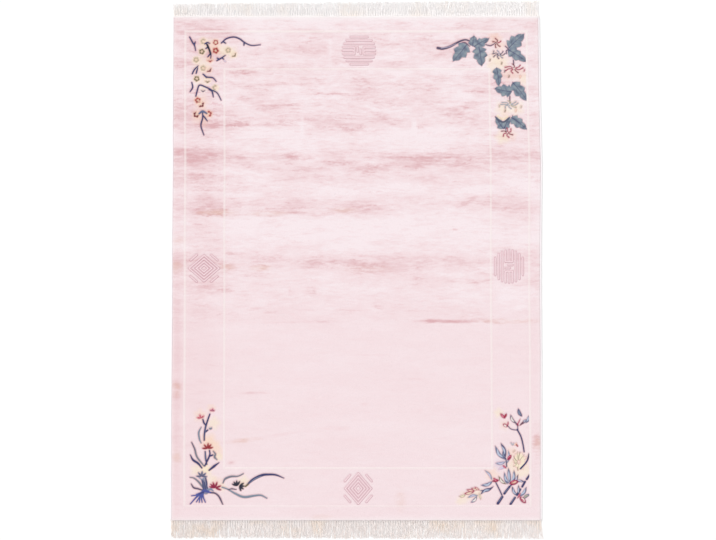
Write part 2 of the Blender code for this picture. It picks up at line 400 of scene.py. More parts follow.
def draw_far_right_spray(chart):
    """A climbing vine with lobed slate leaves and thin curling flowers."""
    glow(
        chart,
        (168, 42, 40, "apricot", 0.5), (150, 78, 34, "peach", 0.5), (178, 150, 52, "butter", 0.6),
        (132, 158, 40, "butter", 0.55), (104, 222, 44, "peach", 0.45), (50, 224, 46, "peach", 0.4),
        (28, 252, 34, "butter", 0.5), (136, 390, 44, "butter", 0.6), (66, 392, 44, "butter", 0.6),
        (100, 386, 24, "cream", 0.8), (120, 430, 30, "peach", 0.4), (140, 532, 40, "butter", 0.6),
        (92, 520, 36, "peach", 0.4), (196, 200, 34, "butter", 0.4),
    )
    stroke(chart, (457, 89, 430, 92, 392, 80, 350, 57, 318, 48, 290, 58), (13, 12, 9, 7), "plum")
    stroke(chart, (440, 90, 404, 84, 366, 68), (3, 3.4, 2.4), "lilac", 0.7, carved=False)
    stems = (
        (350, 68, 322, 62, 298, 80), (218, 72, 194, 77, 172, 66), (120, 80, 108, 92, 100, 104),
        (104, 96, 116, 104, 114, 118), (80, 150, 79, 176), (84, 262, 83, 280), (99, 330, 99, 366),
        (121, 488, 118, 506), (86, 428, 84, 446), (322, 66, 318, 84),
    )
    for stem in stems:
        stroke(chart, stem, (5.4, 5.6, 4.6), "plum")
    leaves = (
        (312, 72, 382, 156, 78, 3), (282, 80, 276, 26, 52, 2), (276, 82, 200, 40, 52, 3),
        (252, 84, 238, 180, 76, 3), (104, 90, 26, 18, 76, 3), (106, 98, 12, 158, 58, 3),
        (164, 188, 153, 282, 50, 3), (90, 308, 176, 292, 66, 3), (84, 262, 12, 354, 66, 3),
        (132, 492, 170, 432, 46, 2), (128, 492, 98, 432, 42, 2), (92, 436, 14, 496, 56, 3),
    )
    for *ends, width, lobes in leaves:
        vine_leaf(chart, ends, width, lobes)
    stroke(chart, (170, 434, 154, 452, 128, 458, 104, 438), (7, 9, 9, 7), "leaf_dark")
    stroke(chart, (160, 428, 146, 440, 128, 444, 112, 432), (12, 13, 12), "butter", 0.85, carved=False)
    spider_flower(chart, 162, 64, 21, 24, "wine", "crimson", 5, 0.9)
    spider_flower(chart, 152, 122, 32, 20, "plum", "slate", 7, 0.3)
    spider_flower(chart, 78, 192, 46, 23, "crimson", "wine", 7, 0.2)
    spider_flower(chart, 100, 372, 44, 20, "grey", "moss", 8, 0.7)
    spider_flower(chart, 112, 512, 30, 24, "crimson", "wine", 6, 0.5)
    dots = (
        (196, 150, "olive"), (138, 166, "olive"), (123, 206, "ink"), (102, 232, "olive"),
        (46, 234, "apricot"), (26, 202, "crimson"), (150, 380, "moss"), (122, 404, "olive"),
        (68, 402, "apricot"), (42, 384, "moss"), (178, 108, "plum"),
    )
    for u, v, yarn in dots:
        stroke(chart, ((u, v - 4), (u + 2, v + 4)), (7, 5), yarn, 0.75)


def draw_near_left_spray(chart):
    """An orchid clump: long blades and a flower stem rising from spread royal-blue roots."""
    glow(
        chart,
        (116, 306, 46, "peach", 0.9), (150, 292, 34, "peach", 0.7), (104, 178, 34, "butter", 0.95),
        (56, 170, 34, "butter", 0.6), (164, 262, 38, "peach", 0.6), (170, 236, 24, "butter", 0.7),
        (72, 442, 36, "peach", 0.6), (138, 402, 36, "butter", 0.6), (130, 480, 26, "peach", 0.5),
        (160, 106, 36, "peach", 0.6), (182, 88, 26, "butter", 0.5), (286, 116, 34, "butter", 0.7),
        (128, 128, 28, "butter", 0.5),
    )
    blades = (
        ((33, 308, 48, 276, 60, 236, 94, 192), (5, 9, 9, 7), "pewter"),
        ((34, 306, 50, 268), (5, 3), "plum"),
        ((27, 246, 40, 222, 66, 204, 84, 182), (5, 11, 12, 7), "navy"),
        ((80, 382, 68, 356, 72, 322, 80, 304), (4, 9, 9, 5), "leaf"),
        ((168, 208, 146, 192, 120, 171), (5, 13, 8), "navy"),
        ((140, 264, 150, 250, 146, 236, 158, 222), (6, 9, 11, 5), "pewter"),
        ((26, 136, 46, 132, 70, 112, 92, 84), (5, 8, 10, 9), "pewter"),
        ((32, 104, 44, 86, 66, 80, 92, 72), (5, 9, 8, 8), "plum"),
        ((126, 62, 150, 58, 170, 40, 188, 2), (9, 8, 9, 5), "plum"),
        ((184, 88, 212, 78, 250, 56, 292, 40, 346, 47, 376, 48, 404, 34), (7, 8, 11, 12, 9, 6), "leaf"),
        ((188, 108, 198, 128, 226, 140, 262, 142, 288, 154), (6, 11, 10, 7, 6), "pewter"),
        ((214, 76, 232, 80, 254, 76), (4, 7, 4), "plum"),
        ((300, 92, 334, 124, 378, 146, 410, 150, 448, 148, 488, 132), (7, 13, 14, 11, 9, 4), "navy"),
        ((298, 92, 312, 102), (8, 8), "olive"), ((316, 106, 344, 128, 376, 142), (2, 4, 3), "slate"),
    )
    for points, widths, yarn in blades:
        stroke(chart, points, widths, yarn)
    stems = (
        (95, 318, 96, 350, 104, 392, 122, 446), (88, 420, 93, 404, 102, 392), (97, 356, 112, 368),
        (100, 262, 102, 230, 108, 200), (121, 268, 122, 244, 98, 192), (122, 240, 138, 246),
        (84, 126, 92, 96, 96, 74), (103, 132, 108, 104, 104, 74), (92, 118, 100, 88),
    )
    for stem in stems:
        stroke(chart, stem, (7.4, 9.4, 7.4), "navy")
    stroke(chart, (92, 126, 98, 98, 104, 70), (14, 24, 34), "storm", 0.8)
    for line in ((86, 120, 92, 76), (98, 112, 102, 74), (108, 102, 114, 72)):
        stroke(chart, line, (4, 5), "navy", 0.85, carved=False)
    stroke(chart, (99, 258, 101, 222), (3, 3), "slate", 0.8, carved=False)
    stroke(chart, (98, 330, 104, 388), (2.4, 2.4), "slate", 0.7, carved=False)
    stroke(chart, (112, 74, 128, 78, 140, 70), (9, 12, 6), "slate")
    orchid(chart, 112, 277, 24, "madder", "wine", (-1.5, -0.75, 0.1, 0.7, 1.35))
    orchid(chart, 83, 140, 24, "storm", "plum", (-1.5, -0.7, 0.1, 0.9, 1.6))
    stroke(chart, (70, 136, 84, 126, 98, 134), (6, 7, 6), "slate", 0.85)
    orchid(chart, 150, 84, 28, "crimson", "wine", (-1.35, -0.9, -0.4, 0.3, 1.2, 1.9))
    orchid(chart, 258, 94, 24, "ink", "ink", (-1.2, -0.7, -0.1, 0.5))
    orchid(chart, 268, 94, 24, "ink", "ink", (1, 1.6, 2.2, 2.8))
    orchid(chart, 78, 426, 17, "rose", "madder", (-1.4, -0.3, 0.9))
    orchid(chart, 134, 462, 10, "rose", "plum", (-1.2, 0.2, 1.3))
    orchid(chart, 127, 372, 8, "grey", "plum", (-1, 0.4))
    roots = ((28, 6), (34, 46), (52, 34), (58, 16), (72, 14), (86, 14), (102, 14))
    for i, end in enumerate(roots):
        bend = (0.45 * end[0] + 0.55 * 86 - 3, 0.5 * (end[1] + 62) + 4 * (-1) ** i)
        stroke(chart, ((90, 64), bend, end), (12, 8, 5.6), "royal")
    stroke(chart, (60, 52, 82, 58, 98, 70, 126, 62), (10, 17, 15, 9), "royal")
    stroke(chart, (70, 54, 92, 64), (5, 7), "navy", 0.8, carved=False)


def draw_near_right_spray(chart):
    """Jointed stalks with thin pointed leaves, outlined red buds and a pale chrysanthemum."""
    glow(
        chart,
        (150, 452, 28, "butter", 0.6), (126, 392, 32, "peach", 0.4), (50, 214, 56, "peach", 0.7),
        (22, 170, 34, "butter", 0.6), (186, 150, 40, "peach", 0.55), (320, 40, 34, "butter", 0.5),
        (262, 58, 34, "butter", 0.6), (150, 196, 34, "lilac", 0.4), (86, 262, 30, "peach", 0.5),
        (60, 150, 36, "butter", 0.5), (344, 22, 26, "butter", 0.5), (90, 190, 30, "butter", 0.5),
    )
    for i in range(17):
        angle = math.tau * i / 17
        root = (54 + 8 * math.cos(angle), 212 + 10 * math.sin(angle))
        reach = 1 + 0.22 * math.sin(3.1 * i)
        tip = (50 + 32 * reach * math.cos(angle + 0.15), 218 + 44 * reach * math.sin(angle + 0.15))
        stroke(chart, (root, tip), (4, 13, 6), "butter", 0.85, bellied=True)
        if math.cos(angle - 0.3) > -0.5:
            middle = (0.5 * (root[0] + tip[0]) + 3, 0.5 * (root[1] + tip[1]) - 2)
            yarn = ("moss", "olive", "butter")[i % 3]
            stroke(chart, (root, middle, tip), (2, 4.4, 2.6), yarn, 0.85, carved=False)
    stalks = (
        ((158, 10, 137, 41), 14), ((126, 58, 114, 74, 100, 92), 12), ((94, 98, 84, 108, 74, 128), 8),
        ((96, 6, 74, 38), 12), ((64, 52, 48, 78), 12), ((38, 92, 24, 116), 11), ((16, 128, 2, 148), 10.5),
        ((46, 180, 22, 206, 10, 226, 3, 252), 8.5), ((138, 50, 152, 80, 168, 112), 6.5),
        ((110, 392, 92, 374, 62, 368), 4.6), ((62, 372, 44, 338, 34, 300, 28, 262), 7.6),
        ((58, 372, 60, 392), 4.4), ((118, 228, 114, 190), 6),
    )
    for points, width in stalks:
        stroke(chart, points, (width, width * 0.9), "navy")
    for points in ((154, 18, 138, 42), (92, 14, 74, 42), (60, 62, 48, 80), (122, 64, 104, 86)):
        stroke(chart, points, (4.4, 3), "slate", 0.6, carved=False)
    stroke(chart, (10, 228, 3, 250), (9, 9), "plum")
    leaves = (
        (38, 436, 56, 474, 17, "navy", "slate", 0.1), (20, 404, 3, 440, 15, "storm", "mist", -0.1),
        (70, 402, 94, 444, 14, "plum", "cream", 0.1), (36, 398, 14, 420, 13, "plum", "mist", 0.1),
        (58, 386, 76, 416, 7, "plum", "plum", 0), (50, 390, 28, 412, 8, "wine", "plum", 0),
        (122, 224, 170, 290, 18, "storm", "mist", 0.1), (122, 228, 142, 304, 17, "navy", "mist", -0.1),
        (118, 226, 132, 268, 12, "navy", "slate", 0.1), (120, 214, 168, 206, 15, "slate", "lilac", 0.1),
        (112, 206, 106, 268, 13, "slate", "lilac", -0.1), (120, 190, 152, 176, 9, "lilac", "lilac", 0),
        (186, 122, 222, 172, 12, "slate", "lilac", -0.1), (184, 118, 240, 98, 17, "storm", "mist", 0.12),
        (180, 92, 246, 72, 13, "navy", "slate", 0.14), (190, 84, 244, 54, 13, "navy", "mist", -0.1),
        (118, 104, 154, 142, 14, "olive", "cream", 0.1), (110, 104, 126, 130, 9, "navy", "slate", 0),
        (102, 106, 126, 160, 14, "storm", "mist", 0.1), (98, 108, 106, 182, 17, "storm", "mist", 0),
        (92, 108, 78, 170, 15, "storm", "mist", -0.1), (88, 106, 58, 150, 13, "plum", "lilac", -0.1),
        (84, 112, 24, 114, 13, "navy", "lilac", 0.12), (62, 46, 88, 92, 14, "navy", "mist", 0.1),
        (56, 52, 56, 98, 12, "plum", "mist", 0), (50, 44, 18, 88, 15, "storm", "mist", -0.1),
        (36, 28, 0, 54, 15, "storm", "moss", 0.1), (262, 44, 290, 14, 15, "storm", "cream", 0.1),
        (256, 48, 306, 38, 13, "slate", "lilac", -0.1), (318, 52, 348, 44, 12, "moss", "butter", 0.1),
        (250, 58, 242, 28, 8, "moss", "butter", 0),
    )
    for *ends, width, rim, heart, bow in leaves:
        outlined(chart, ends, width, rim, heart, bow)
    buds = (
        (122, 426, 144, 450, 15, "rose"), (124, 428, 114, 450, 12, "madder"),
        (110, 386, 130, 398, 16, "cream"), (108, 392, 106, 410, 8, "rose"), (110, 222, 92, 246, 17, "rose"),
        (108, 226, 96, 238, 6, "wine"), (116, 182, 134, 196, 11, "rose"), (152, 124, 186, 118, 15, "wine"),
        (160, 116, 180, 134, 13, "rose"), (100, 106, 58, 118, 24, "apricot"), (98, 110, 72, 124, 9, "rose"),
        (50, 42, 22, 12, 22, "cream"), (62, 34, 46, 62, 9, "rose"), (44, 34, 30, 20, 6, "rose"),
        (276, 66, 324, 56, 15, "butter"), (272, 70, 312, 76, 13, "peach"), (256, 76, 290, 84, 12, "butter"),
        (248, 74, 272, 90, 10, "peach"), (62, 392, 46, 424, 6, "rose"), (54, 388, 64, 404, 6, "crimson"),
    )
    for *ends, width, heart in buds:
        outlined(chart, ends, width, "crimson", heart)
    stroke(chart, (68, 300, 60, 290), (9, 7), "madder", 0.9)
    stroke(chart, (74, 296, 66, 304), (6, 5), "apricot", 0.9)
    stroke(chart, (92, 306, 84, 296, 80, 304), (6, 7, 5), "grey", 0.8)
    stroke(chart, (80, 262, 74, 268), (5, 4), "moss", 0.7)


CORNERS = (
    # which way from the rug's middle, how far along the end and along the side, where it is shifted
    {"name": "far_left", "ways": (-1, 1), "reach_mm": (410, 550), "shift_mm": (3.5, 0.0),
     "draw": draw_far_left_spray},
    {"name": "far_right", "ways": (1, 1), "reach_mm": (480, 575), "shift_mm": (9.0, 0.0),
     "draw": draw_far_right_spray},
    {"name": "near_left", "ways": (-1, -1), "reach_mm": (515, 500), "shift_mm": (11.0, 5.0),
     "draw": draw_near_left_spray},
    {"name": "near_right", "ways": (1, -1), "reach_mm": (385, 500), "shift_mm": (1.5, 4.0),
     "draw": draw_near_right_spray},
)


# The four roundels are carved into ground-coloured pile in the middle of each border: round frets of plain
# bars, level ones with a key or nested lozenges. Each bar's outline is painted a rosier colour as painted
# shade of its carved groove, and its heart paler as a painted highlight on its top.
ROUNDEL_RADIUS_MM = 80.0
BAR_OUTLINE_MM = 9.9
BAR_HEART_MM = 6.5
BAR_SPACING_MM = 17
KEY_HALF_MM = 24
# painted shade: the rosier line round each fret bar stands in for the shade in its carved groove
YARNS["fret_groove_shade"] = (182, 104, 126)
# painted highlight: the paler heart of each fret bar stands in for the light on its raised top
YARNS["fret_ridge_highlight"] = (250, 226, 230)


def level_bars():
    """Level bars across a round, opened in the middle for a square key."""
    bars = []
    for number in range(-4, 5):
        level = number * BAR_SPACING_MM
        reach = math.sqrt(ROUNDEL_RADIUS_MM**2 - level**2)
        if abs(number) < 2:
            bars += [((-reach, level), (-KEY_HALF_MM, level)), ((KEY_HALF_MM, level), (reach, level))]
        else:
            bars.append(((-reach, level), (reach, level)))
    for u, low, high in ((-KEY_HALF_MM, -17, 17), (KEY_HALF_MM, -17, 17), (-7, -17, 4), (8, -4, 17)):
        bars.append(((u, low), (u, high)))
    return bars


def lozenge_bars():
    """Nested lozenges cut off by the round's rim, with a short post on either side."""
    bars = []
    for size in (20, 38, 56, 74):
        corners = ((0, -size), (0.86 * size, 0), (0, size), (-0.86 * size, 0))
        bars += zip(corners, corners[1:] + corners[:1])
    for u in (-1, 1):
        for v in (-1, 1):
            bars.append(((u * 40, v * 66), (u * 66, v * 36)))
    return bars


ROUNDELS = (
    # its name and middle, the side that its chart is set out from, its bars, whether it is turned
    ("far", (0.015, 1.075), -1, level_bars, False),
    ("right", (0.757, 0.001), 1, level_bars, True),
    ("near", (0.011, -1.092), -1, lozenge_bars, False),
    ("left", (-0.752, -0.008), -1, lozenge_bars, True),
)


def draw_roundel(chart, middle, side, bars, turned):
    """Draws a roundel's fret about its own middle: each bar's outline in painted groove shade, then its
    heart in a painted highlight.
    """
    cu = (OUTER_LINE[0] - side * middle[0]) * 1000.0
    cv = (OUTER_LINE[1] - middle[1]) * 1000.0
    lines = []
    for ends in bars():
        lines.append([(cu + u, cv + v) for u, v in (end[::-1] if turned else end for end in ends)])
    for line in lines:
        stroke(chart, line, (BAR_OUTLINE_MM, BAR_OUTLINE_MM), "fret_groove_shade", 0.7)
    for line in lines:
        stroke(chart, line, (BAR_HEART_MM, BAR_HEART_MM), "fret_ridge_highlight", 0.9, carved=False)


# The pile: cut silk tufts 7.5 mm tall, knotted over a cotton back. It is one surface to the
# hand, built here as the field, the margin, the frame lines and stretches of border, and
# carved with scissors along each figure and frame line.
PILE_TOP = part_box("pile_cloth")[1][2]
PILE_ROOT = 0.0024
GROOVE_WIDTH = 0.0065
CARVE_DEPTH_MM = 1.5
CARVE_PLACE_MM = 1.9
CARVE_SPREAD_MM = 1.8
FIGURE_RISE_MM = 0.5
MARK_EDGE = 1.35


def carving(chart):
    """The groove outside a figure's edge, from 0 to 1, which also sets the painted groove shade, and the
    pile's height with it cut in.
    """
    outside = chart["edge"] - CARVE_PLACE_MM
    groove = np.exp(-((outside / CARVE_SPREAD_MM) ** 2))
    rise = FIGURE_RISE_MM * np.clip(-chart["edge"] / 2.0, 0.0, 1.0)
    return groove, PILE_TOP + (rise - CARVE_DEPTH_MM * groove) / 1000.0


# Where the pile was rolled, brushed or trodden its tufts lie over: level bands of paler or
# rosier tone, ragged patches and thin streaks. A few spots have yellowed.
# Each mark: middle x, middle y, half length and half height in cm, strength, slope if it has one.
WEAR = {
    "rolled": (
        (0, 62, 300, 6, -0.16), (0, 38.3, 300, 4.5, -0.18), (0, 17, 300, 10.5, -0.27),
        (0, 74, 300, 4, 0.12), (0, 54.5, 300, 5.5, 0.17), (0, 28.5, 300, 5, 0.1), (0, 2, 300, 5.5, 0.14),
        (0, -13, 300, 4, -0.08), (48, 87, 9, 6, -0.3), (-29, 110, 18, 7.5, 0.22), (0, 120.5, 300, 3, -0.14),
        (88, 20, 4, 110, 0.06), (-89, -55, 3.2, 75, 0.19), (76, -12, 10, 14, -0.12), (-76, 16, 11, 8, 0.22),
        (12, 92, 80, 5, -0.06), (-13, 108, 1.2, 7, -0.25), (44, -87, 30, 9, -0.05),
        (-78, -48, 12, 66, 0.08), (76, 34, 10, 40, 0.1), (-50, 122.8, 32, 2.4, -0.22),
    ),
    "patched": (
        (29, 112, 24, 3.4, 0.34), (20, 120.5, 7, 2, 0.5), (38, 120.5, 6, 2, 0.34), (51, 120.5, 5, 2, 0.24),
        (-38, 119, 12, 2, 0.22), (-54, 97.5, 4, 4.5, 0.3), (-60, 95, 4, 4, 0.2), (2.5, 91, 5, 5, 0.42),
        (16, 89.3, 8, 2.6, 0.32), (31, 93, 14, 3, 0.24), (-23, 82.4, 20, 3, 0.18), (55, 74, 12, 6, 0.24),
        (-59, 70.5, 8, 2.4, 0.46), (-70, 69.5, 6, 2, 0.34), (-43, 70.5, 9, 2, 0.22), (35, 67, 3, 1.5, 0.24),
        (-76, 54.6, 8, 2.4, 0.54), (-83, 52, 5, 2.4, 0.4), (-31, 54.6, 5, 1.4, 0.36),
        (6.5, 49.8, 9, 3.4, 0.46), (-11, 51.6, 7, 1.6, 0.3), (48, 53, 7, 3, 0.32), (36, 51.7, 7, 3, 0.26),
        (78, 53, 9, 5, 0.1), (-76, 42, 10, 6, 0.22), (-59, 39.3, 5.5, 2.4, 0.5), (-61, 34.8, 3, 2.4, 0.36),
        (-58, 31.3, 5.5, 2, 0.28), (-75, 31.3, 8, 3, 0.34), (-68, 27.2, 10, 2.4, 0.78),
        (-43, 26.4, 10, 1.4, 0.24), (-13, 26.4, 12, 1.2, 0.26), (-6, 28, 6, 1.8, 0.38),
        (6.5, 29.3, 10, 2.2, 0.4), (-21, 1.6, 6, 3.6, 0.34), (-11.4, 1.6, 2.4, 3, 0.28),
        (0.5, 1.6, 4, 4, 0.26), (6.5, 1.2, 8, 4, 0.24), (5, -1.2, 3, 2.4, 0.34), (33, 1.2, 6, 3.4, 0.24),
        (-47, -0.4, 5, 1.6, 0.38), (-64, -0.4, 4, 2.8, 0.4), (-64, -11.8, 5, 1.2, 0.4),
        (-76, -11.3, 9, 3, 0.26), (-23, -12.6, 4.5, 3, 0.28), (61, -7.8, 7, 1.6, 0.36, 0.1),
        (48.5, -6.8, 5, 1.2, 0.24), (56, -24, 6, 3, 0.26), (71, -27, 18, 1.8, 0.3),
        (-88.7, -60.8, 2.6, 4, 0.44), (89.4, -87.5, 2.6, 5, 0.8), (89.4, -90, 3, 14, 0.22),
        (-11, -80.1, 8, 1.4, 0.24, 0.06), (55, 32.3, 4.4, 1.5, 0.7, 0.45),
    ),
    "streaked": (
        (-37, 90.6, 30, 0.6, 0.3), (-52, 70.6, 38, 0.6, 0.42), (-12, 68, 12, 0.7, 0.24),
        (28, 54.3, 40, 0.7, 0.26), (-31, 54.6, 4, 0.7, 0.5), (-60, 54.2, 12, 0.6, 0.3),
        (-77, 45.6, 8, 0.6, 0.26), (17, 47, 7, 0.6, 0.22), (-68, 25.6, 12, 0.8, 0.62),
        (-30, 26.8, 5, 0.6, 0.56), (5, 26.4, 40, 0.6, 0.2), (50.3, 18.5, 3, 0.7, 0.66, 0.05),
        (-42, 2.6, 16, 0.6, 0.22), (44.6, -27.1, 15, 0.9, 0.95), (37, -26.6, 4.5, 1.3, 0.5),
        (70, -27.3, 17, 0.7, 0.36), (-18, -27.1, 9, 0.7, 0.32), (-43, -27.6, 18, 0.6, 0.2),
        (-4, -21.6, 9, 0.6, 0.32), (-47, -20.2, 8, 0.7, 0.34, 0.25), (10.5, -19.8, 2.5, 1, 0.4),
        (10.5, -43.4, 9, 0.6, 0.2), (29, -55.3, 5, 0.6, 0.26), (-50, -62.2, 7, 0.7, 0.44),
        (-6, -67.7, 3, 1, 0.22), (4, -67.7, 2, 0.9, 0.18), (31.5, -70.7, 1.2, 1.4, 0.2),
        (-55, -85.6, 10, 1, 0.38, 0.1), (-37, -82.8, 12, 0.9, 0.22, 0.1), (-61.5, -96.5, 2, 1.2, 0.6),
        (-32.7, -12.3, 1, 2.4, 0.5), (-20.3, -11.8, 1.2, 1.4, 0.64), (-27, 69.5, 1, 4.5, -0.8),
        (29, 69.5, 1.4, 4, -0.7), (-54, -14, 2.5, 0.8, 0.36), (-42, -22.5, 4, 0.7, 0.3, 0.1),
        (-37, -16, 3, 0.7, 0.34), (2, -8.5, 3, 0.8, 0.3), (20, -11, 3, 0.7, 0.26), (52, -13, 5, 0.8, 0.34),
        (66, -14, 4, 0.8, 0.36), (58, -18, 4, 0.7, 0.3), (60, 87, 9, 0.7, 0.34), (42, 82, 12, 0.7, 0.34),
        (-14, 86, 14, 0.7, 0.34), (-40, 80, 12, 0.7, 0.36), (8, 77, 10, 0.7, 0.3), (-56, 84, 6, 0.8, 0.36),
    ),
    "aged": (
        (-69, 26.6, 9, 1.8, 0.6), (-43, 26.4, 10, 1.2, 0.34), (-6, 28, 6, 1.4, 0.3),
        (-47, -0.6, 5, 1.4, 0.5), (-64, -0.4, 4, 2, 0.36), (-89, 0, 3, 3, 0.4), (-88, 12, 3, 4, 0.26),
        (74, -27, 14, 1.2, 0.4), (-88.7, -60.8, 2.4, 3.6, 0.5), (89.4, -87.5, 2.4, 4, 0.4),
        (-55, -85.6, 7, 1.2, 0.55, 0.1), (22, -114, 2.6, 6, 0.22), (-17, -123, 5, 1.4, 0.24),
        (-88.6, -94, 2.4, 4, 0.4), (5, -1, 12, 2, 0.16),
    ),
}


def marks(x, y, table):
    """Adds up a table's soft-edged marks at each point."""
    x, y, total = 100.0 * x, 100.0 * y, np.zeros(x.size)
    for middle_x, middle_y, half_length, half_height, strength, *slope in table:
        level = y - middle_y - sum(slope) * (x - middle_x)
        reach = np.hypot((x - middle_x) / half_length, level / half_height)
        total += strength * np.clip(MARK_EDGE - reach, 0.0, 1.0)
    return total


def dressed_mesh(name, places, faces, dye, cover, groove):
    """A mesh whose points carry their yarn, how much of it shows, its share of painted groove shade, and the
    pile's wear.
    """
    mesh = bpy.data.meshes.new(name)
    mesh.from_pydata(places.tolist(), [], faces.tolist())
    yarn = mesh.color_attributes.new(name="yarn", type="FLOAT_COLOR", domain="POINT")
    yarn.data.foreach_set("color", np.column_stack([dye, cover]).astype(np.float32).ravel())
    values = {"groove": groove}
    for label, table in WEAR.items():
        values[label] = marks(places[:, 0], places[:, 1], table)
    for label in values:
        layer = mesh.attributes.new(name=label, type="FLOAT", domain="POINT")
        layer.data.foreach_set("value", np.asarray(values[label], np.float32))
    return added(name, mesh)


def close_to(piece, height):
    """Walls a surface's rim down, or up, to a height and closes it there, keeping its rim crisp."""
    work = bmesh.new()
    work.from_mesh(piece.data)
    for face in work.faces:
        face.smooth = True
    rim = [edge for edge in work.edges if edge.is_boundary]
    for edge in rim:
        edge.smooth = False
    made = bmesh.ops.extrude_edge_only(work, edges=rim)["geom"]
    for part in made:
        if isinstance(part, bmesh.types.BMVert):
            part.co.z = height
        elif isinstance(part, bmesh.types.BMFace):
            part.smooth = False
    lower = [part for part in made if isinstance(part, bmesh.types.BMEdge) and part.is_boundary]
    bmesh.ops.holes_fill(work, edges=lower, sides=0)
    bmesh.ops.recalc_face_normals(work, faces=work.faces[:])
    work.to_mesh(piece.data)
    work.free()


def grid_piece(name, x_lines, y_lines, paint, keep=None, flip=False):
    """A surface on a grid of lines, painted from the chart, with cells left out where keep says."""
    x, y = np.meshgrid(x_lines, y_lines)
    number = np.arange(x.size).reshape(x.shape)
    x, y = x.ravel(), y.ravel()
    corners = (number[:-1, :-1], number[:-1, 1:], number[1:, 1:], number[1:, :-1])
    faces = np.stack([corner.ravel() for corner in corners], axis=1)
    if keep is not None:
        faces = faces[keep(x[faces].mean(axis=1), y[faces].mean(axis=1))]
    used, faces = np.unique(faces, return_inverse=True)
    faces = faces.reshape(-1, 4)
    if flip:
        faces = faces[:, ::-1]
    x, y = x[used], y[used]
    dye, cover, groove, height = paint(x, y)
    return dressed_mesh(name, np.column_stack([*lie(x, y), height]), faces, dye, cover, groove)


def spaced(start, end, step):
    """Evenly spaced lines from start to end, no further apart than the step."""
    return np.linspace(start, end, max(2, int(math.ceil(abs(end - start) / step)) + 1))


def plain_paint(x, y):
    """Ground-coloured pile with nothing knotted or carved in it."""
    return np.zeros((x.size, 3)), np.zeros(x.size), np.zeros(x.size), np.full(x.size, PILE_TOP)


FIELD_EDGE = np.subtract(INNER_LINE, GROOVE_WIDTH)
BAND_INNER = np.add(INNER_LINE, GROOVE_WIDTH)
BAND_OUTER = np.subtract(OUTER_LINE, GROOVE_WIDTH)
FINE_STEP = 0.0022
ROUNDEL_STEP = 0.0017
ROUNDEL_HALF = 0.095
PLAIN_STEP_X = 0.0125
PLAIN_STEP_Y = 0.0038
FRET_SHADOW = 0.3

field_x = spaced(-FIELD_EDGE[0], FIELD_EDGE[0], PLAIN_STEP_X)
field_y = spaced(-FIELD_EDGE[1], FIELD_EDGE[1], PLAIN_STEP_Y)
pile_pieces = [grid_piece("field_pile", field_x, field_y, plain_paint)]

for corner in CORNERS:
    def spray_paint(x, y):
        chart = blank_chart(x, y, *corner["ways"], corner["shift_mm"])
        corner["draw"](chart)
        return chart["dye"], chart["cover"], *carving(chart)

    def in_band(x, y):
        side, end = corner["ways"]
        return (side * x > BAND_INNER[0]) | (end * y > BAND_INNER[1])

    lines = []
    for axis, way in enumerate(corner["ways"]):
        start = OUTER_LINE[axis] - corner["reach_mm"][axis] / 1000.0
        beside = spaced(start, BAND_INNER[axis], FINE_STEP)
        within = spaced(BAND_INNER[axis], BAND_OUTER[axis], FINE_STEP)
        lines.append(np.sort(way * np.unique(np.concatenate([beside, within]))))
    pile_pieces.append(grid_piece(corner["name"] + "_spray_pile", *lines, spray_paint, keep=in_band))

for name, middle, side, bars, turned in ROUNDELS:
    def roundel_paint(x, y):
        chart = blank_chart(x, y, side, 1)
        draw_roundel(chart, middle, side, bars, turned)
        groove, height = carving(chart)
        return chart["dye"], chart["cover"], FRET_SHADOW * groove, height

    # the border runs along one axis and lies off the rug's middle along the other
    axis = 1 if abs(middle[0]) > abs(middle[1]) else 0
    off = 1 - axis
    way = math.copysign(1, middle[off])
    band = sorted((way * BAND_INNER[off], way * BAND_OUTER[off]))
    beside = sorted((c["ways"][axis], c["reach_mm"][axis]) for c in CORNERS if c["ways"][off] == way)
    (_, low_reach), (_, high_reach) = beside
    low, high = middle[axis] - ROUNDEL_HALF, middle[axis] + ROUNDEL_HALF
    spans = (
        ("_roundel_pile", (low, high), (ROUNDEL_STEP, ROUNDEL_STEP), roundel_paint),
        ("_border_pile_first", (-OUTER_LINE[axis] + low_reach / 1000.0, low),
         (PLAIN_STEP_X, PLAIN_STEP_Y), plain_paint),
        ("_border_pile_second", (high, OUTER_LINE[axis] - high_reach / 1000.0),
         (PLAIN_STEP_X, PLAIN_STEP_Y), plain_paint),
    )
    for label, span, steps, paint in spans:
        x_span, y_span = (band, span) if axis else (span, band)
        x_lines, y_lines = spaced(*x_span, steps[0]), spaced(*y_span, steps[1])
        pile_pieces.append(grid_piece(name + label, x_lines, y_lines, paint))

for piece in pile_pieces:
    close_to(piece, PILE_ROOT)


def ring_faces(ring, following):
    """The faces between each closed ring of numbered points and the ring that follows it."""
    corners = (ring, np.roll(ring, -1, axis=1), np.roll(following, -1, axis=1), following)
    return np.stack(corners, axis=-1).reshape(-1, 4)


def face_outward(mesh):
    """Turns every face of a closed mesh outward and shades it smooth."""
    work = bmesh.new()
    work.from_mesh(mesh)
    bmesh.ops.recalc_face_normals(work, faces=work.faces[:])
    work.to_mesh(mesh)
    work.free()
    mesh.shade_smooth()


RING_STEP_X = 0.009
RING_STEP_Y = 0.0065
TUFT_LEAN = 0.0075
LEAN_FROM = 1.225
LEAN_OVER = 0.0167
AT_AN_END = 0.995
RIM_ANGLE = math.radians(50)


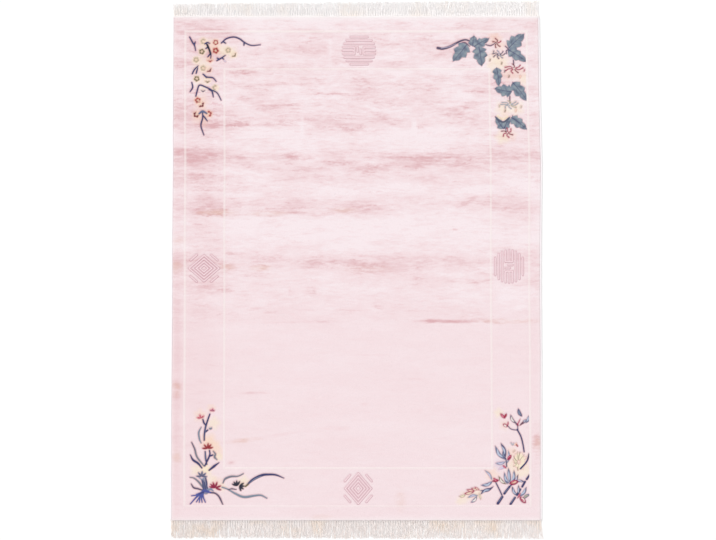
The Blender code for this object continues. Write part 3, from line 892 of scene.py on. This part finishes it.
def ring_piece(name, profile, yarn, fade):
    """A closed band round the rug, mitred at its corners, its last tufts leaning out at both ends."""
    x_share, y_share = spaced(-1.0, 1.0, RING_STEP_X)[:-1], spaced(-1.0, 1.0, RING_STEP_Y)[:-1]
    along_side, along_end = np.ones(y_share.size), np.ones(x_share.size)
    shares = np.vstack([
        np.column_stack([along_side, y_share]), np.column_stack([-x_share, along_end]),
        np.column_stack([-along_side, -y_share]), np.column_stack([x_share, -along_end]),
    ])
    at_side, at_near, at_far = fade
    along = shares[:, 1]
    shown = np.where(along > AT_AN_END, at_far, np.where(along < -AT_AN_END, at_near, at_side))
    rings, covers, grooves = [], [], []
    for half_width, half_length, height, cover, groove in profile:
        x, y = lie(shares[:, 0] * half_width, shares[:, 1] * half_length)
        risen = (height - PILE_ROOT) / (PILE_TOP - PILE_ROOT)
        y = y + TUFT_LEAN * risen * np.sign(y) * np.clip((np.abs(y) - LEAN_FROM) / LEAN_OVER, 0.0, 1.0)
        rings.append(np.column_stack([x, y, np.full(x.size, height)]))
        covers.append(cover * shown)
        grooves.append(np.full(x.size, groove))
    number = np.arange(len(profile) * len(shares)).reshape(len(profile), -1)
    faces = ring_faces(number, np.roll(number, -1, axis=0))
    dye = np.tile(linear_colour(yarn), (number.size, 1))
    piece = dressed_mesh(name, np.vstack(rings), faces, dye, np.concatenate(covers), np.concatenate(grooves))
    face_outward(piece.data)
    piece.data.set_sharp_from_angle(angle=RIM_ANGLE)
    return piece


LINE_PROFILE_MM = (
    # offset across the line, height over the pile's top, share of cream yarn, share of painted groove shade
    (-6.5, None, 0.0, 0.0), (-6.5, 0.0, 0.0, 0.0), (-6.0, -0.5, 0.24, 0.1), (-4.8, -0.1, 0.42, 0.0),
    (-2.4, 0.1, 0.56, 0.0), (2.4, 0.1, 0.56, 0.0), (4.8, -0.1, 0.42, 0.0), (6.0, -0.5, 0.24, 0.1),
    (6.5, 0.0, 0.0, 0.0), (6.5, None, 0.0, 0.0),
)
FRAME_LINES = (
    # how much of the cream shows: at the sides, at the near end and at the far end
    ("outer_frame_line", OUTER_LINE, (0.9, 0.5, 1.1)),
    ("inner_frame_line", INNER_LINE, (0.9, 0.9, 0.8)),
)
for name, (half_width, half_length), fade in FRAME_LINES:
    profile = []
    for offset, rise, cover, groove in LINE_PROFILE_MM:
        height = PILE_ROOT if rise is None else PILE_TOP + rise / 1000.0
        profile.append((half_width + offset / 1000.0, half_length + offset / 1000.0, height, cover, groove))
    pile_pieces.append(ring_piece(name, profile, "frame_cream", fade))

MARGIN_INNER = np.add(OUTER_LINE, GROOVE_WIDTH)
RIM_ROWS = (
    # how far inside the cloth's edge, how far below the pile's top, share of pale colour (pale yarn and
    # painted light)
    (0.0150, 0.0, 0.10), (0.0100, 0.0, 0.30), (0.0050, 0.0, 0.52), (0.0024, 0.0002, 0.8),
    (0.0008, 0.0007, 0.95), (0.0, 0.0016, 1.0), (0.0, PILE_TOP - PILE_ROOT, 0.9),
)
margin_profile = [(*MARGIN_INNER, PILE_ROOT, 0.0, 0.0)]
for outset in (0.0, 0.009, 0.018, 0.025):
    margin_profile.append((MARGIN_INNER[0] + outset, MARGIN_INNER[1] + 1.25 * outset, PILE_TOP, 0.0, 0.0))
for inset, drop, pale in RIM_ROWS:
    margin_profile.append((CLOTH_HALF_WIDTH - inset, CLOTH_HALF_LENGTH - inset, PILE_TOP - drop, pale, 0.0))
# partly real and partly painted light: the rim's pale colour is the pile's paler last rows, made paler still
# to cancel the shade on its rounded edge and in the gap by the cords, and most at the far end as a painted
# highlight
pile_pieces.append(ring_piece("margin_pile", margin_profile, "rim_pale_and_painted_light", (0.2, 0.55, 1.0)))


# Silk pile changes tone as its tufts lean, so its colour drifts in clouds, flecks and hairlines
# drawn out across the rug, strongest in its far half and least in its near end.
SILK_PALE = (0.845, 0.735, 0.760, 1.0)
SILK_MID = (0.803, 0.638, 0.660, 1.0)
SILK_DEEP = (0.660, 0.400, 0.422, 1.0)
SILK_AGED = (0.700, 0.470, 0.390, 1.0)
GROOVE_PAINTED_SHADE = (0.88, 0.74, 0.77, 1.0)
UNREST = (
    # how far along the rug, from 0 at its near end to 1 at its far end, and how much tone drifts
    (0.37, 0.24), (0.42, 0.62), (0.49, 0.85), (0.62, 0.95), (0.80, 1.2),
)


class Dyer:
    """Mixes a material's colours and relief from nodes in one tree."""

    def __init__(self, tree):
        self.tree = tree

    def node(self, kind, values=(), **settings):
        """Adds a node, sets its options and fills the inputs that are named."""
        node = self.tree.nodes.new(kind)
        for key, value in settings.items():
            setattr(node, key, value)
        for key, value in dict(values).items():
            if isinstance(value, bpy.types.NodeSocket):
                self.tree.links.new(value, node.inputs[key])
            else:
                node.inputs[key].default_value = value
        return node

    def sum(self, operation, first, second, clamp=False):
        """One sum of two numbers or sockets."""
        values = {0: first, 1: second}
        return self.node("ShaderNodeMath", values, operation=operation, use_clamp=clamp).outputs[0]

    def add(self, first, second, clamp=False):
        """The one added to the other."""
        return self.sum("ADD", first, second, clamp)

    def times(self, first, second, clamp=False):
        """The one multiplied by the other."""
        return self.sum("MULTIPLY", first, second, clamp)

    def spread(self, value, low, high, to_low=0.0, to_high=1.0):
        """Spreads the values between low and high over another range, and stops at its ends."""
        values = {"Value": value, "From Min": low, "From Max": high, "To Min": to_low, "To Max": to_high}
        return self.node("ShaderNodeMapRange", values).outputs[0]

    def mix(self, share, first, second, blend="MIX"):
        """One colour turning into a second one as the share goes from 0 to 1."""
        values = {0: share, 6: first, 7: second}
        return self.node("ShaderNodeMix", values, data_type="RGBA", blend_type=blend).outputs[2]

    def group(self, group, **values):
        """What one of the shared node groups gives for these inputs."""
        return self.node("ShaderNodeGroup", values, node_tree=group).outputs[0]

    def finish(self, shader, colour, height, strength, depth):
        """Joins a colour and a relief to the shader."""
        bump = self.node("ShaderNodeBump", {"Height": height, "Strength": strength, "Distance": depth})
        self.tree.links.new(colour, shader.inputs["Base Color"])
        self.tree.links.new(bump.outputs[0], shader.inputs["Normal"])


def shared_group(name, inputs, output):
    """An empty node group with named inputs and one output, and the sockets that they give."""
    group = bpy.data.node_groups.new(name, "ShaderNodeTree")
    for label, kind in inputs:
        group.interface.new_socket(label, in_out="INPUT", socket_type="NodeSocket" + kind)
    group.interface.new_socket(output[0], in_out="OUTPUT", socket_type="NodeSocket" + output[1])
    return group, Dyer(group), group.nodes.new("NodeGroupInput").outputs


# cloudy noise stretched along the rug's axes, from 0 to 1
NOISE_INPUTS = (
    ("Place", "Vector"), ("Stretch", "Vector"), ("Shift", "Vector"),
    ("Detail", "Float"), ("Roughness", "Float"),
)
noise_group, dyer, given = shared_group("stretched_noise", NOISE_INPUTS, ("Share", "Float"))
moving = {"Vector": given["Place"], "Scale": given["Stretch"], "Location": given["Shift"]}
moved = dyer.node("ShaderNodeMapping", moving).outputs[0]
cloudy = {"Vector": moved, "Scale": 1.0, "Detail": given["Detail"], "Roughness": given["Roughness"]}
dyer.node("NodeGroupOutput", {"Share": dyer.node("ShaderNodeTexNoise", cloudy).outputs[0]})

# the yarn tied in by the chart, over the ground colour; among its colours are the painted groove shade and
# highlight of the roundel frets and the painted light on the margin's rim
yarn_group, dyer, given = shared_group("knotted_yarn", (("Ground", "Color"),), ("Colour", "Color"))
yarn = dyer.node("ShaderNodeAttribute", attribute_name="yarn").outputs
dyer.node("NodeGroupOutput", {"Colour": dyer.mix(yarn["Alpha"], given["Ground"], yarn["Color"])})


def noise(dyer, place, stretch, shift, detail=3.0, rough=0.55):
    """Stretched noise at a place, moved along by a shift so that no two clouds are alike."""
    values = {"Place": place, "Stretch": stretch, "Shift": (shift, shift * 0.37, shift)}
    return dyer.group(noise_group, **values, Detail=detail, Roughness=rough)


pile_silk, tree, shader = new_material(
    "carved_silk_pile",
    {"Roughness": 0.55, "Specular IOR Level": 0.2, "Sheen Weight": 0.12, "Sheen Roughness": 0.4},
)
silk = Dyer(tree)
place = silk.node("ShaderNodeTexCoord").outputs["Object"]
split = silk.node("ShaderNodeSeparateXYZ", {0: place}).outputs
drift = noise(silk, place, (2.2, 5.0, 0.0), 3.1)
ragged = noise(silk, place, (30.0, 55.0, 0.0), 7.7, 3.0, 0.7)
wavy_y = silk.add(split[1], silk.add(silk.times(drift, 0.06), silk.times(ragged, 0.035)))
wavy = silk.node("ShaderNodeCombineXYZ", {0: split[0], 1: wavy_y}).outputs[0]
clouds = noise(silk, wavy, (1.8, 9.0, 0.0), 11.0)
patches = noise(silk, wavy, (6.0, 25.0, 0.0), 2.3)
flecks = noise(silk, place, (24.0, 85.0, 0.0), 5.3, 3.0, 0.6)
hairs = noise(silk, wavy, (9.0, 165.0, 0.0), 8.7, 2.0, 0.5)
hairlines = silk.spread(hairs, 0.56, 0.70)

unrest = silk.node("ShaderNodeValToRGB", {0: silk.spread(split[1], -1.25, 1.25)})
unrest.color_ramp.elements[0].color = (0.24, 0.24, 0.24, 1.0)
unrest.color_ramp.elements[1].color = (1.1, 1.1, 1.1, 1.0)
for position, amount in UNREST:
    unrest.color_ramp.elements.new(position).color = (amount, amount, amount, 1.0)
left_side = silk.spread(split[0], -0.58, -0.72)

worn = {}
for label in WEAR:
    worn[label] = silk.node("ShaderNodeAttribute", attribute_name=label).outputs["Fac"]
lean = 0.0
for cloud, amount in ((clouds, 1.05), (patches, 0.95), (flecks, 0.8)):
    lean = silk.add(lean, silk.times(silk.sum("SUBTRACT", cloud, 0.5), amount))
lean = silk.add(silk.add(lean, silk.times(hairlines, 0.26)), silk.times(left_side, 0.20))
ragged_edge = silk.spread(silk.add(patches, flecks), 0.78, 1.22, 0.2, 1.3)
patchy = silk.times(worn["patched"], silk.add(ragged_edge, silk.times(hairlines, 0.4)))
streaky = silk.times(worn["streaked"], silk.add(ragged_edge, 0.3))
lean = silk.add(silk.add(silk.times(lean, unrest.outputs[0]), worn["rolled"]), 0.27)
lean = silk.add(lean, silk.times(silk.add(patchy, streaky), 0.54), clamp=True)
tone = silk.node("ShaderNodeValToRGB", {0: lean})
tone.color_ramp.elements[0].color = SILK_PALE
tone.color_ramp.elements[1].color = SILK_DEEP
tone.color_ramp.elements.new(0.42).color = SILK_MID
ground = silk.mix(silk.times(worn["aged"], ragged_edge, clamp=True), tone.outputs[0], SILK_AGED)

# painted shade: where the groove attribute says a carved groove lies, the pile's colour is multiplied by a
# darker tint that stands in for the shade in the groove
groove = silk.node("ShaderNodeAttribute", attribute_name="groove").outputs["Fac"]
shadowed = silk.mix(groove, silk.group(yarn_group, Ground=ground), GROOVE_PAINTED_SHADE, "MULTIPLY")
tuft_place = silk.node("ShaderNodeMapping", {"Vector": wavy, "Scale": (400.0, 470.0, 0.0)}).outputs[0]
tuft_values = {"Vector": tuft_place, "Scale": 1.0}
tufts = silk.node("ShaderNodeTexVoronoi", tuft_values, voronoi_dimensions="2D").outputs["Distance"]
# painted light and shade: each tuft's colour is lighter at its middle and darker at its edges, a painted
# highlight on the tuft tips and painted shade between them
tip_light = silk.spread(tufts, 0.05, 0.85, 1.085, 0.945)
lit_tips = silk.node("ShaderNodeVectorMath", {0: shadowed, "Scale": tip_light}, operation="SCALE")
relief = silk.sum("SUBTRACT", silk.times(lean, 0.6), tufts)
silk.finish(shader, lit_tips.outputs[0], relief, 0.5, 0.0010)
for piece in pile_pieces:
    piece.data.materials.append(pile_silk)
    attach(piece, "root")
    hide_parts("pile_cloth")


# The woven back: cotton warp and weft with the knots' silk loops showing between them, so the
# figures show here too, the other way round. It carries the pile and lies on the floor.
BACK_STEP = 0.006
BACK_PLAIN_STEP = 0.03
BACK_PLAIN_HALF = (0.30, 0.61)
BACK_EDGE_STEP = 0.02
BACK_INNER_STEP = 0.003
BACK_OUTER_STEP = 0.0033
LINE_REACH = 0.006
WEAVE_SCALE = 62.0
LINE_HALF = 0.0036
LOOP_ROSE = (0.62, 0.40, 0.44, 1.0)
LOOP_PALE = (0.80, 0.64, 0.62, 1.0)


def back_paint(x, y):
    """The back of the knots: the sprays and the frame lines in flat colour."""
    dye, cover = np.zeros((x.size, 3)), np.zeros(x.size)
    for corner in CORNERS:
        side, end = corner["ways"]
        chart = blank_chart(x, y, side, end, corner["shift_mm"])
        corner["draw"](chart)
        own = (x * side > 0) & (y * end > 0)
        dye[own], cover[own] = chart["dye"][own], chart["cover"][own]
    for half_width, half_length in (OUTER_LINE, INNER_LINE):
        off = np.abs(np.maximum(np.abs(x) - half_width, np.abs(y) - half_length))
        line = off < LINE_HALF
        dye[line], cover[line] = linear_colour("frame_cream"), 1.0
    return dye, cover, np.zeros(x.size), np.zeros(x.size)


back_lines = []
for axis, edge in enumerate((CLOTH_HALF_WIDTH, CLOTH_HALF_LENGTH)):
    inner, outer, plain = INNER_LINE[axis], OUTER_LINE[axis], BACK_PLAIN_HALF[axis]
    parts = (
        spaced(0.0, plain, BACK_PLAIN_STEP),
        spaced(plain, BAND_OUTER[axis], BACK_STEP),
        spaced(inner - LINE_REACH, inner + LINE_REACH, BACK_INNER_STEP),
        spaced(BAND_OUTER[axis], outer + LINE_REACH, BACK_OUTER_STEP),
        spaced(outer + LINE_REACH, edge, BACK_EDGE_STEP),
    )
    half = np.unique(np.round(np.concatenate(parts), 6))
    back_lines.append(np.concatenate([-half[:0:-1], half]))
back = grid_piece("woven_back", *back_lines, back_paint, flip=True)
close_to(back, PILE_ROOT)

woven_cotton, tree, shader = new_material("woven_back", {"Roughness": 0.85})
weaver = Dyer(tree)
place = weaver.node("ShaderNodeTexCoord").outputs["Object"]
ground = weaver.mix(noise(weaver, place, (210.0, 400.0, 0.0), 2.0, 2.0), LOOP_ROSE, LOOP_PALE)
waves = []
for way, wander in (("Y", 0.6), ("X", 0.4)):
    values = {"Vector": place, "Scale": WEAVE_SCALE, "Distortion": wander, "Detail": 1.0}
    waves.append(weaver.node("ShaderNodeTexWave", values, bands_direction=way).outputs["Fac"])
ribs = weaver.add(weaver.times(waves[0], 0.7), waves[1])
weaver.finish(shader, weaver.group(yarn_group, Ground=ground), ribs, 0.6, 0.0005)
back.data.materials.append(woven_cotton)
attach(back, "root")
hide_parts("pile_cloth")


# The side cords: each side's outermost warps are bundled and wound round and round with pale
# silk yarn, which makes a firm, ribbed, rounded edge beside the pile.
CORD_WIDTH = 0.009
CORD_HEIGHT = 0.0085
CORD_GAP = 0.0003
WRAP_PITCH = 0.0032
WRAP_SLANT = 0.35
WRAP_SWELL = 0.07
RINGS_PER_WRAP = 2
CORD_SIDES = 10
CORD_ROUNDNESS = 0.75
CORD_ROSE = (0.84, 0.76, 0.79, 1.0)
CORD_PALE = (0.95, 0.92, 0.93, 1.0)


def swept_piece(name, around, x, y, z):
    """A bar closed at both ends, through rings that have so many points around."""
    number = np.arange(x.size).reshape(-1, around)
    walls = ring_faces(number[:-1], number[1:]).tolist()
    mesh = bpy.data.meshes.new(name)
    ends = [number[0].tolist(), number[-1][::-1].tolist()]
    mesh.from_pydata(np.column_stack([x, y, z]).tolist(), [], walls + ends)
    face_outward(mesh)
    return added(name, mesh)


def squared(wave):
    """Flattens a round section's sine or cosine, so that it fills more of its square."""
    return np.sign(wave) * np.abs(wave) ** CORD_ROUNDNESS


cord_pieces = []
for name, side in (("left", -1), ("right", 1)):
    stations = spaced(-CLOTH_HALF_LENGTH, CLOTH_HALF_LENGTH, WRAP_PITCH / RINGS_PER_WRAP)
    swell = 1.0 - WRAP_SWELL * (np.arange(stations.size) % RINGS_PER_WRAP)
    angles = math.tau * np.arange(CORD_SIDES) / CORD_SIDES
    across = np.outer(swell, squared(np.cos(angles))) * CORD_WIDTH / 2
    high = np.outer(swell, squared(np.sin(angles))) * CORD_HEIGHT / 2
    slant = np.tile(np.cos(angles) * WRAP_PITCH * WRAP_SLANT, stations.size)
    middle = CLOTH_HALF_WIDTH + CORD_GAP + CORD_WIDTH / 2
    y = np.repeat(stations, CORD_SIDES)
    x = lie(np.full(y.size, side * middle), y)[0] + side * across.ravel()
    y = np.clip(y + slant, -CLOTH_HALF_LENGTH, CLOTH_HALF_LENGTH)
    piece = swept_piece(name + "_wound_cord", CORD_SIDES, x, y, CORD_HEIGHT / 2 + high.ravel())
    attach(piece, "root")
    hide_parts(name + "_side_cord")
    cord_pieces.append(piece)

wound_silk, tree, shader = new_material("wound_silk_cord", {"Roughness": 0.6, "Sheen Weight": 0.15})
winder = Dyer(tree)
place = winder.node("ShaderNodeTexCoord").outputs["Object"]
mottle = noise(winder, place, (40.0, 90.0, 40.0), 4.0)
blotch = noise(winder, place, (4.0, 7.0, 4.0), 9.0, 2.0)
tone = winder.mix(winder.add(winder.times(mottle, 0.5), winder.times(blotch, 0.5)), CORD_ROSE, CORD_PALE)
fibre = noise(winder, place, (300.0, 1400.0, 300.0), 0.0, 2.0)
winder.finish(shader, tone, fibre, 0.4, 0.0004)
for piece in cord_pieces:
    piece.data.materials.append(wound_silk)


# The end bands and the fringe: past the last knots a few rows of plain weave hold the pile,
# then the cotton warp ends are knotted in small bundles and hang free as the fringe.
RUG_HALF_LENGTH = 1.250
BAND_WIDTH = 0.008
BAND_HEIGHT = 0.0055
BAND_HALF = 0.914
BAND_STEP = 0.004
BUNDLES = 150
BUNDLE_PITCH = 2 * BAND_HALF * 2 / (2 * BUNDLES + 1)
BUNDLE_SWAYS = ((0.0048, 0.370, 0.6), (0.0022, 0.128, 1.9))
YARNS_PER_BUNDLE = 10
YARN_RADIUS = 0.0012
YARN_STEPS = 9
YARN_TAPER = 0.35
LENGTH_STRAY = 0.003
SWAY_STRAY = 0.0040
PULLED_IN = 0.009
PULLED_FROM = 0.85
ROOT_FAN = 0.0052
TIP_FAN = 0.0066
TIP_STRAY = 0.0085
KNOT_SIZE = (0.0043, 0.0036, 0.0028)
KNOT_LEVEL = 0.0030
KNOT_OUT = 0.0045
KNOT_STRAY = 0.0012
KNOT_SHIFT = 0.0008
REACH_STRAY = (-0.008, 0.004)
CURL_WIDTH = (0.0004, 0.0022)
CURL_TURNS = (1.2, 2.4)
UPPER_YARN_LIFT = 0.0016
ROOT_LIFT = 0.0012
ROOT_TUCK = 0.001
FRINGE_ENDS = (
    {"name": "near", "toward": -1, "left": 0.082, "right": 0.088, "seed": 4},
    {"name": "far", "toward": 1, "left": 0.062, "right": 0.077, "seed": 9},
)
fringe_pieces = []
for end in FRINGE_ENDS:
    toward = end["toward"]
    chance = random.Random(end["seed"])

    # the plain-woven band, ribbed across by its packed wefts
    stations = spaced(-BAND_HALF, BAND_HALF, BAND_STEP)
    section = [(0.0, 0.0), (1.0, 0.0), (1.0, 0.62)]
    for rib in range(4):
        section += [(0.93 - 0.24 * rib, 1.0), (0.81 - 0.24 * rib, 0.86)]
    section.append((0.0, 0.80))
    across = np.array([RUG_HALF_LENGTH - BAND_WIDTH + share * BAND_WIDTH for share, _ in section])
    high = np.array([share * BAND_HEIGHT for _, share in section])
    beat = 0.94 + 0.06 * np.cos(np.repeat(np.arange(stations.size), len(section)) * 2.4)
    x, y = np.repeat(stations, len(section)), np.tile(toward * across, stations.size)
    band = swept_piece(end["name"] + "_woven_band", len(section), x, y, np.tile(high, stations.size) * beat)

    # the free warp ends, a curve for each, fanned out from its bundle's knot
    threads = bpy.data.curves.new(end["name"] + "_warp_fringe", "CURVE")
    threads.dimensions = "3D"
    threads.bevel_depth = YARN_RADIUS
    threads.bevel_resolution = 0
    threads.use_fill_caps = True
    knots = []
    for bundle in range(BUNDLES):
        root_x = -BAND_HALF + (2 * bundle + 1.5) * BUNDLE_PITCH / 2
        share = root_x / (2 * BAND_HALF) + 0.5
        length = end["left"] + (end["right"] - end["left"]) * share
        length += chance.uniform(-LENGTH_STRAY, LENGTH_STRAY)
        sway = 0.0
        for far, wave, phase in BUNDLE_SWAYS:
            sway += far * math.sin(math.tau * root_x / wave + phase * toward)
        pulled_in = max(0.0, (-root_x - PULLED_FROM) / (BAND_HALF - PULLED_FROM))
        sway += chance.uniform(-SWAY_STRAY, SWAY_STRAY) + PULLED_IN * pulled_in
        knot_y = RUG_HALF_LENGTH + KNOT_OUT + chance.uniform(-KNOT_STRAY, KNOT_STRAY)
        knots.append((root_x + chance.uniform(-KNOT_SHIFT, KNOT_SHIFT), toward * knot_y, KNOT_LEVEL))
        for thread in range(YARNS_PER_BUNDLE):
            spread = (thread - (YARNS_PER_BUNDLE - 1) / 2) / (YARNS_PER_BUNDLE / 2)
            reach = length + chance.uniform(*REACH_STRAY)
            tip_side = sway + spread * TIP_FAN + chance.uniform(-TIP_STRAY, TIP_STRAY)
            curl, phase = chance.uniform(*CURL_WIDTH), chance.uniform(0.0, math.tau)
            turns = chance.uniform(*CURL_TURNS)
            lift = YARN_RADIUS + (thread % 2) * UPPER_YARN_LIFT
            spline = threads.splines.new("POLY")
            spline.points.add(YARN_STEPS - 1)
            for i, point in enumerate(spline.points):
                t = i / (YARN_STEPS - 1)
                side = spread * ROOT_FAN * (1.0 - t) + tip_side * t**1.3
                side += curl * math.sin(phase + math.tau * turns * t) * min(1.0, 3.0 * t)
                z = lift * (1.0 - YARN_TAPER * t) + ROOT_LIFT * (1.0 - t) ** 2
                y = toward * (RUG_HALF_LENGTH - ROOT_TUCK + (reach + ROOT_TUCK) * t)
                point.co = (root_x + side, y, z, 1.0)
                point.radius = 1.0 - YARN_TAPER * t
    fringe = added(end["name"] + "_warp_fringe", threads)
    bpy.context.view_layer.objects.active = fringe
    fringe.select_set(True)
    bpy.ops.object.convert(target="MESH")
    fringe = bpy.context.object
    fringe.data.shade_smooth()
    fringe.select_set(False)

    # the small knots that bind each bundle against the band
    work = bmesh.new()
    for middle in knots:
        for vert in bmesh.ops.create_icosphere(work, subdivisions=1, radius=1.0)["verts"]:
            vert.co = [m + c * size for m, c, size in zip(middle, vert.co, KNOT_SIZE)]
    mesh = bpy.data.meshes.new(end["name"] + "_fringe_knots")
    work.to_mesh(mesh)
    work.free()
    mesh.shade_smooth()
    knot_row = added(end["name"] + "_fringe_knots", mesh)
    for piece in (band, fringe, knot_row):
        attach(piece, "root")
        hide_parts(end["name"] + "_fringed_band")
        fringe_pieces.append(piece)

COTTON_FAR_LIT = (0.97, 0.935, 0.935, 1.0)
COTTON_NEAR_SHADED = (0.88, 0.775, 0.74, 1.0)
COTTON_PALE = (0.99, 0.96, 0.95, 1.0)
COTTON_PEACH = (0.95, 0.76, 0.58, 1.0)
WEFT_ROSE = (0.88, 0.80, 0.79, 1.0)
WEFT_PALE = (0.98, 0.95, 0.94, 1.0)
NEAR_KNOTS_Y = 1.2545
TWIST_SCALE = 160.0
TWIST_SLANT = 0.9
PICK_SCALE = 150.0

warp_cotton, tree, shader = new_material("warp_cotton", {"Roughness": 0.85})
spinner = Dyer(tree)
place = spinner.node("ShaderNodeTexCoord").outputs["Object"]
locks = noise(spinner, place, (90.0, 30.0, 60.0), 2.2, 2.0)
tint = noise(spinner, place, (8.0, 6.0, 0.0), 6.6)
along_rug = spinner.node("ShaderNodeSeparateXYZ", {0: place}).outputs[1]
# painted light and shade: the fringe cotton runs from a paler colour at the far end to a darker one at the
# near end, standing in for the light on the far fringe and the shade among the near fringe's yarns; the same
# share also strengthens the peach tint toward the near end
toward_near_end = spinner.spread(along_rug, 1.3, -1.2)
base = spinner.mix(locks, spinner.mix(toward_near_end, COTTON_FAR_LIT, COTTON_NEAR_SHADED), COTTON_PALE)
peachy = spinner.spread(tint, 0.50, 0.72, 0.0, 0.5)
peach_share = spinner.times(peachy, spinner.add(spinner.times(toward_near_end, 0.6), 0.4))
tone = spinner.mix(peach_share, base, COTTON_PEACH)
# painted shade: a narrow band along the near end's knot row is darkened, standing in for the shadow under
# the pile's edge and between the knots
from_knots = spinner.sum("ABSOLUTE", spinner.add(along_rug, NEAR_KNOTS_Y), 0.0)
tone = spinner.mix(1.0, tone, spinner.spread(from_knots, 0.003, 0.007, 0.90, 1.0), "MULTIPLY")
turning = {"Vector": place, "Rotation": (0.0, 0.0, TWIST_SLANT)}
turned_place = spinner.node("ShaderNodeMapping", turning).outputs[0]
twist_values = {"Vector": turned_place, "Scale": TWIST_SCALE, "Distortion": 1.0}
twist = spinner.node("ShaderNodeTexWave", twist_values, bands_direction="X")
spinner.finish(shader, tone, twist.outputs["Fac"], 0.35, 0.0004)

band_cloth, tree, shader = new_material("woven_end_band", {"Roughness": 0.8})
weaver = Dyer(tree)
place = weaver.node("ShaderNodeTexCoord").outputs["Object"]
weft_shade = noise(weaver, place, (60.0, 300.0, 60.0), 1.2, 2.0)
tone = weaver.mix(weft_shade, WEFT_ROSE, WEFT_PALE)
pick_values = {"Vector": place, "Scale": PICK_SCALE, "Distortion": 0.8}
picks = weaver.node("ShaderNodeTexWave", pick_values, bands_direction="X")
weaver.finish(shader, tone, picks.outputs["Fac"], 0.4, 0.0004)
for piece in fringe_pieces:
    piece.data.materials.append(band_cloth if piece.name.endswith("woven_band") else warp_cotton)
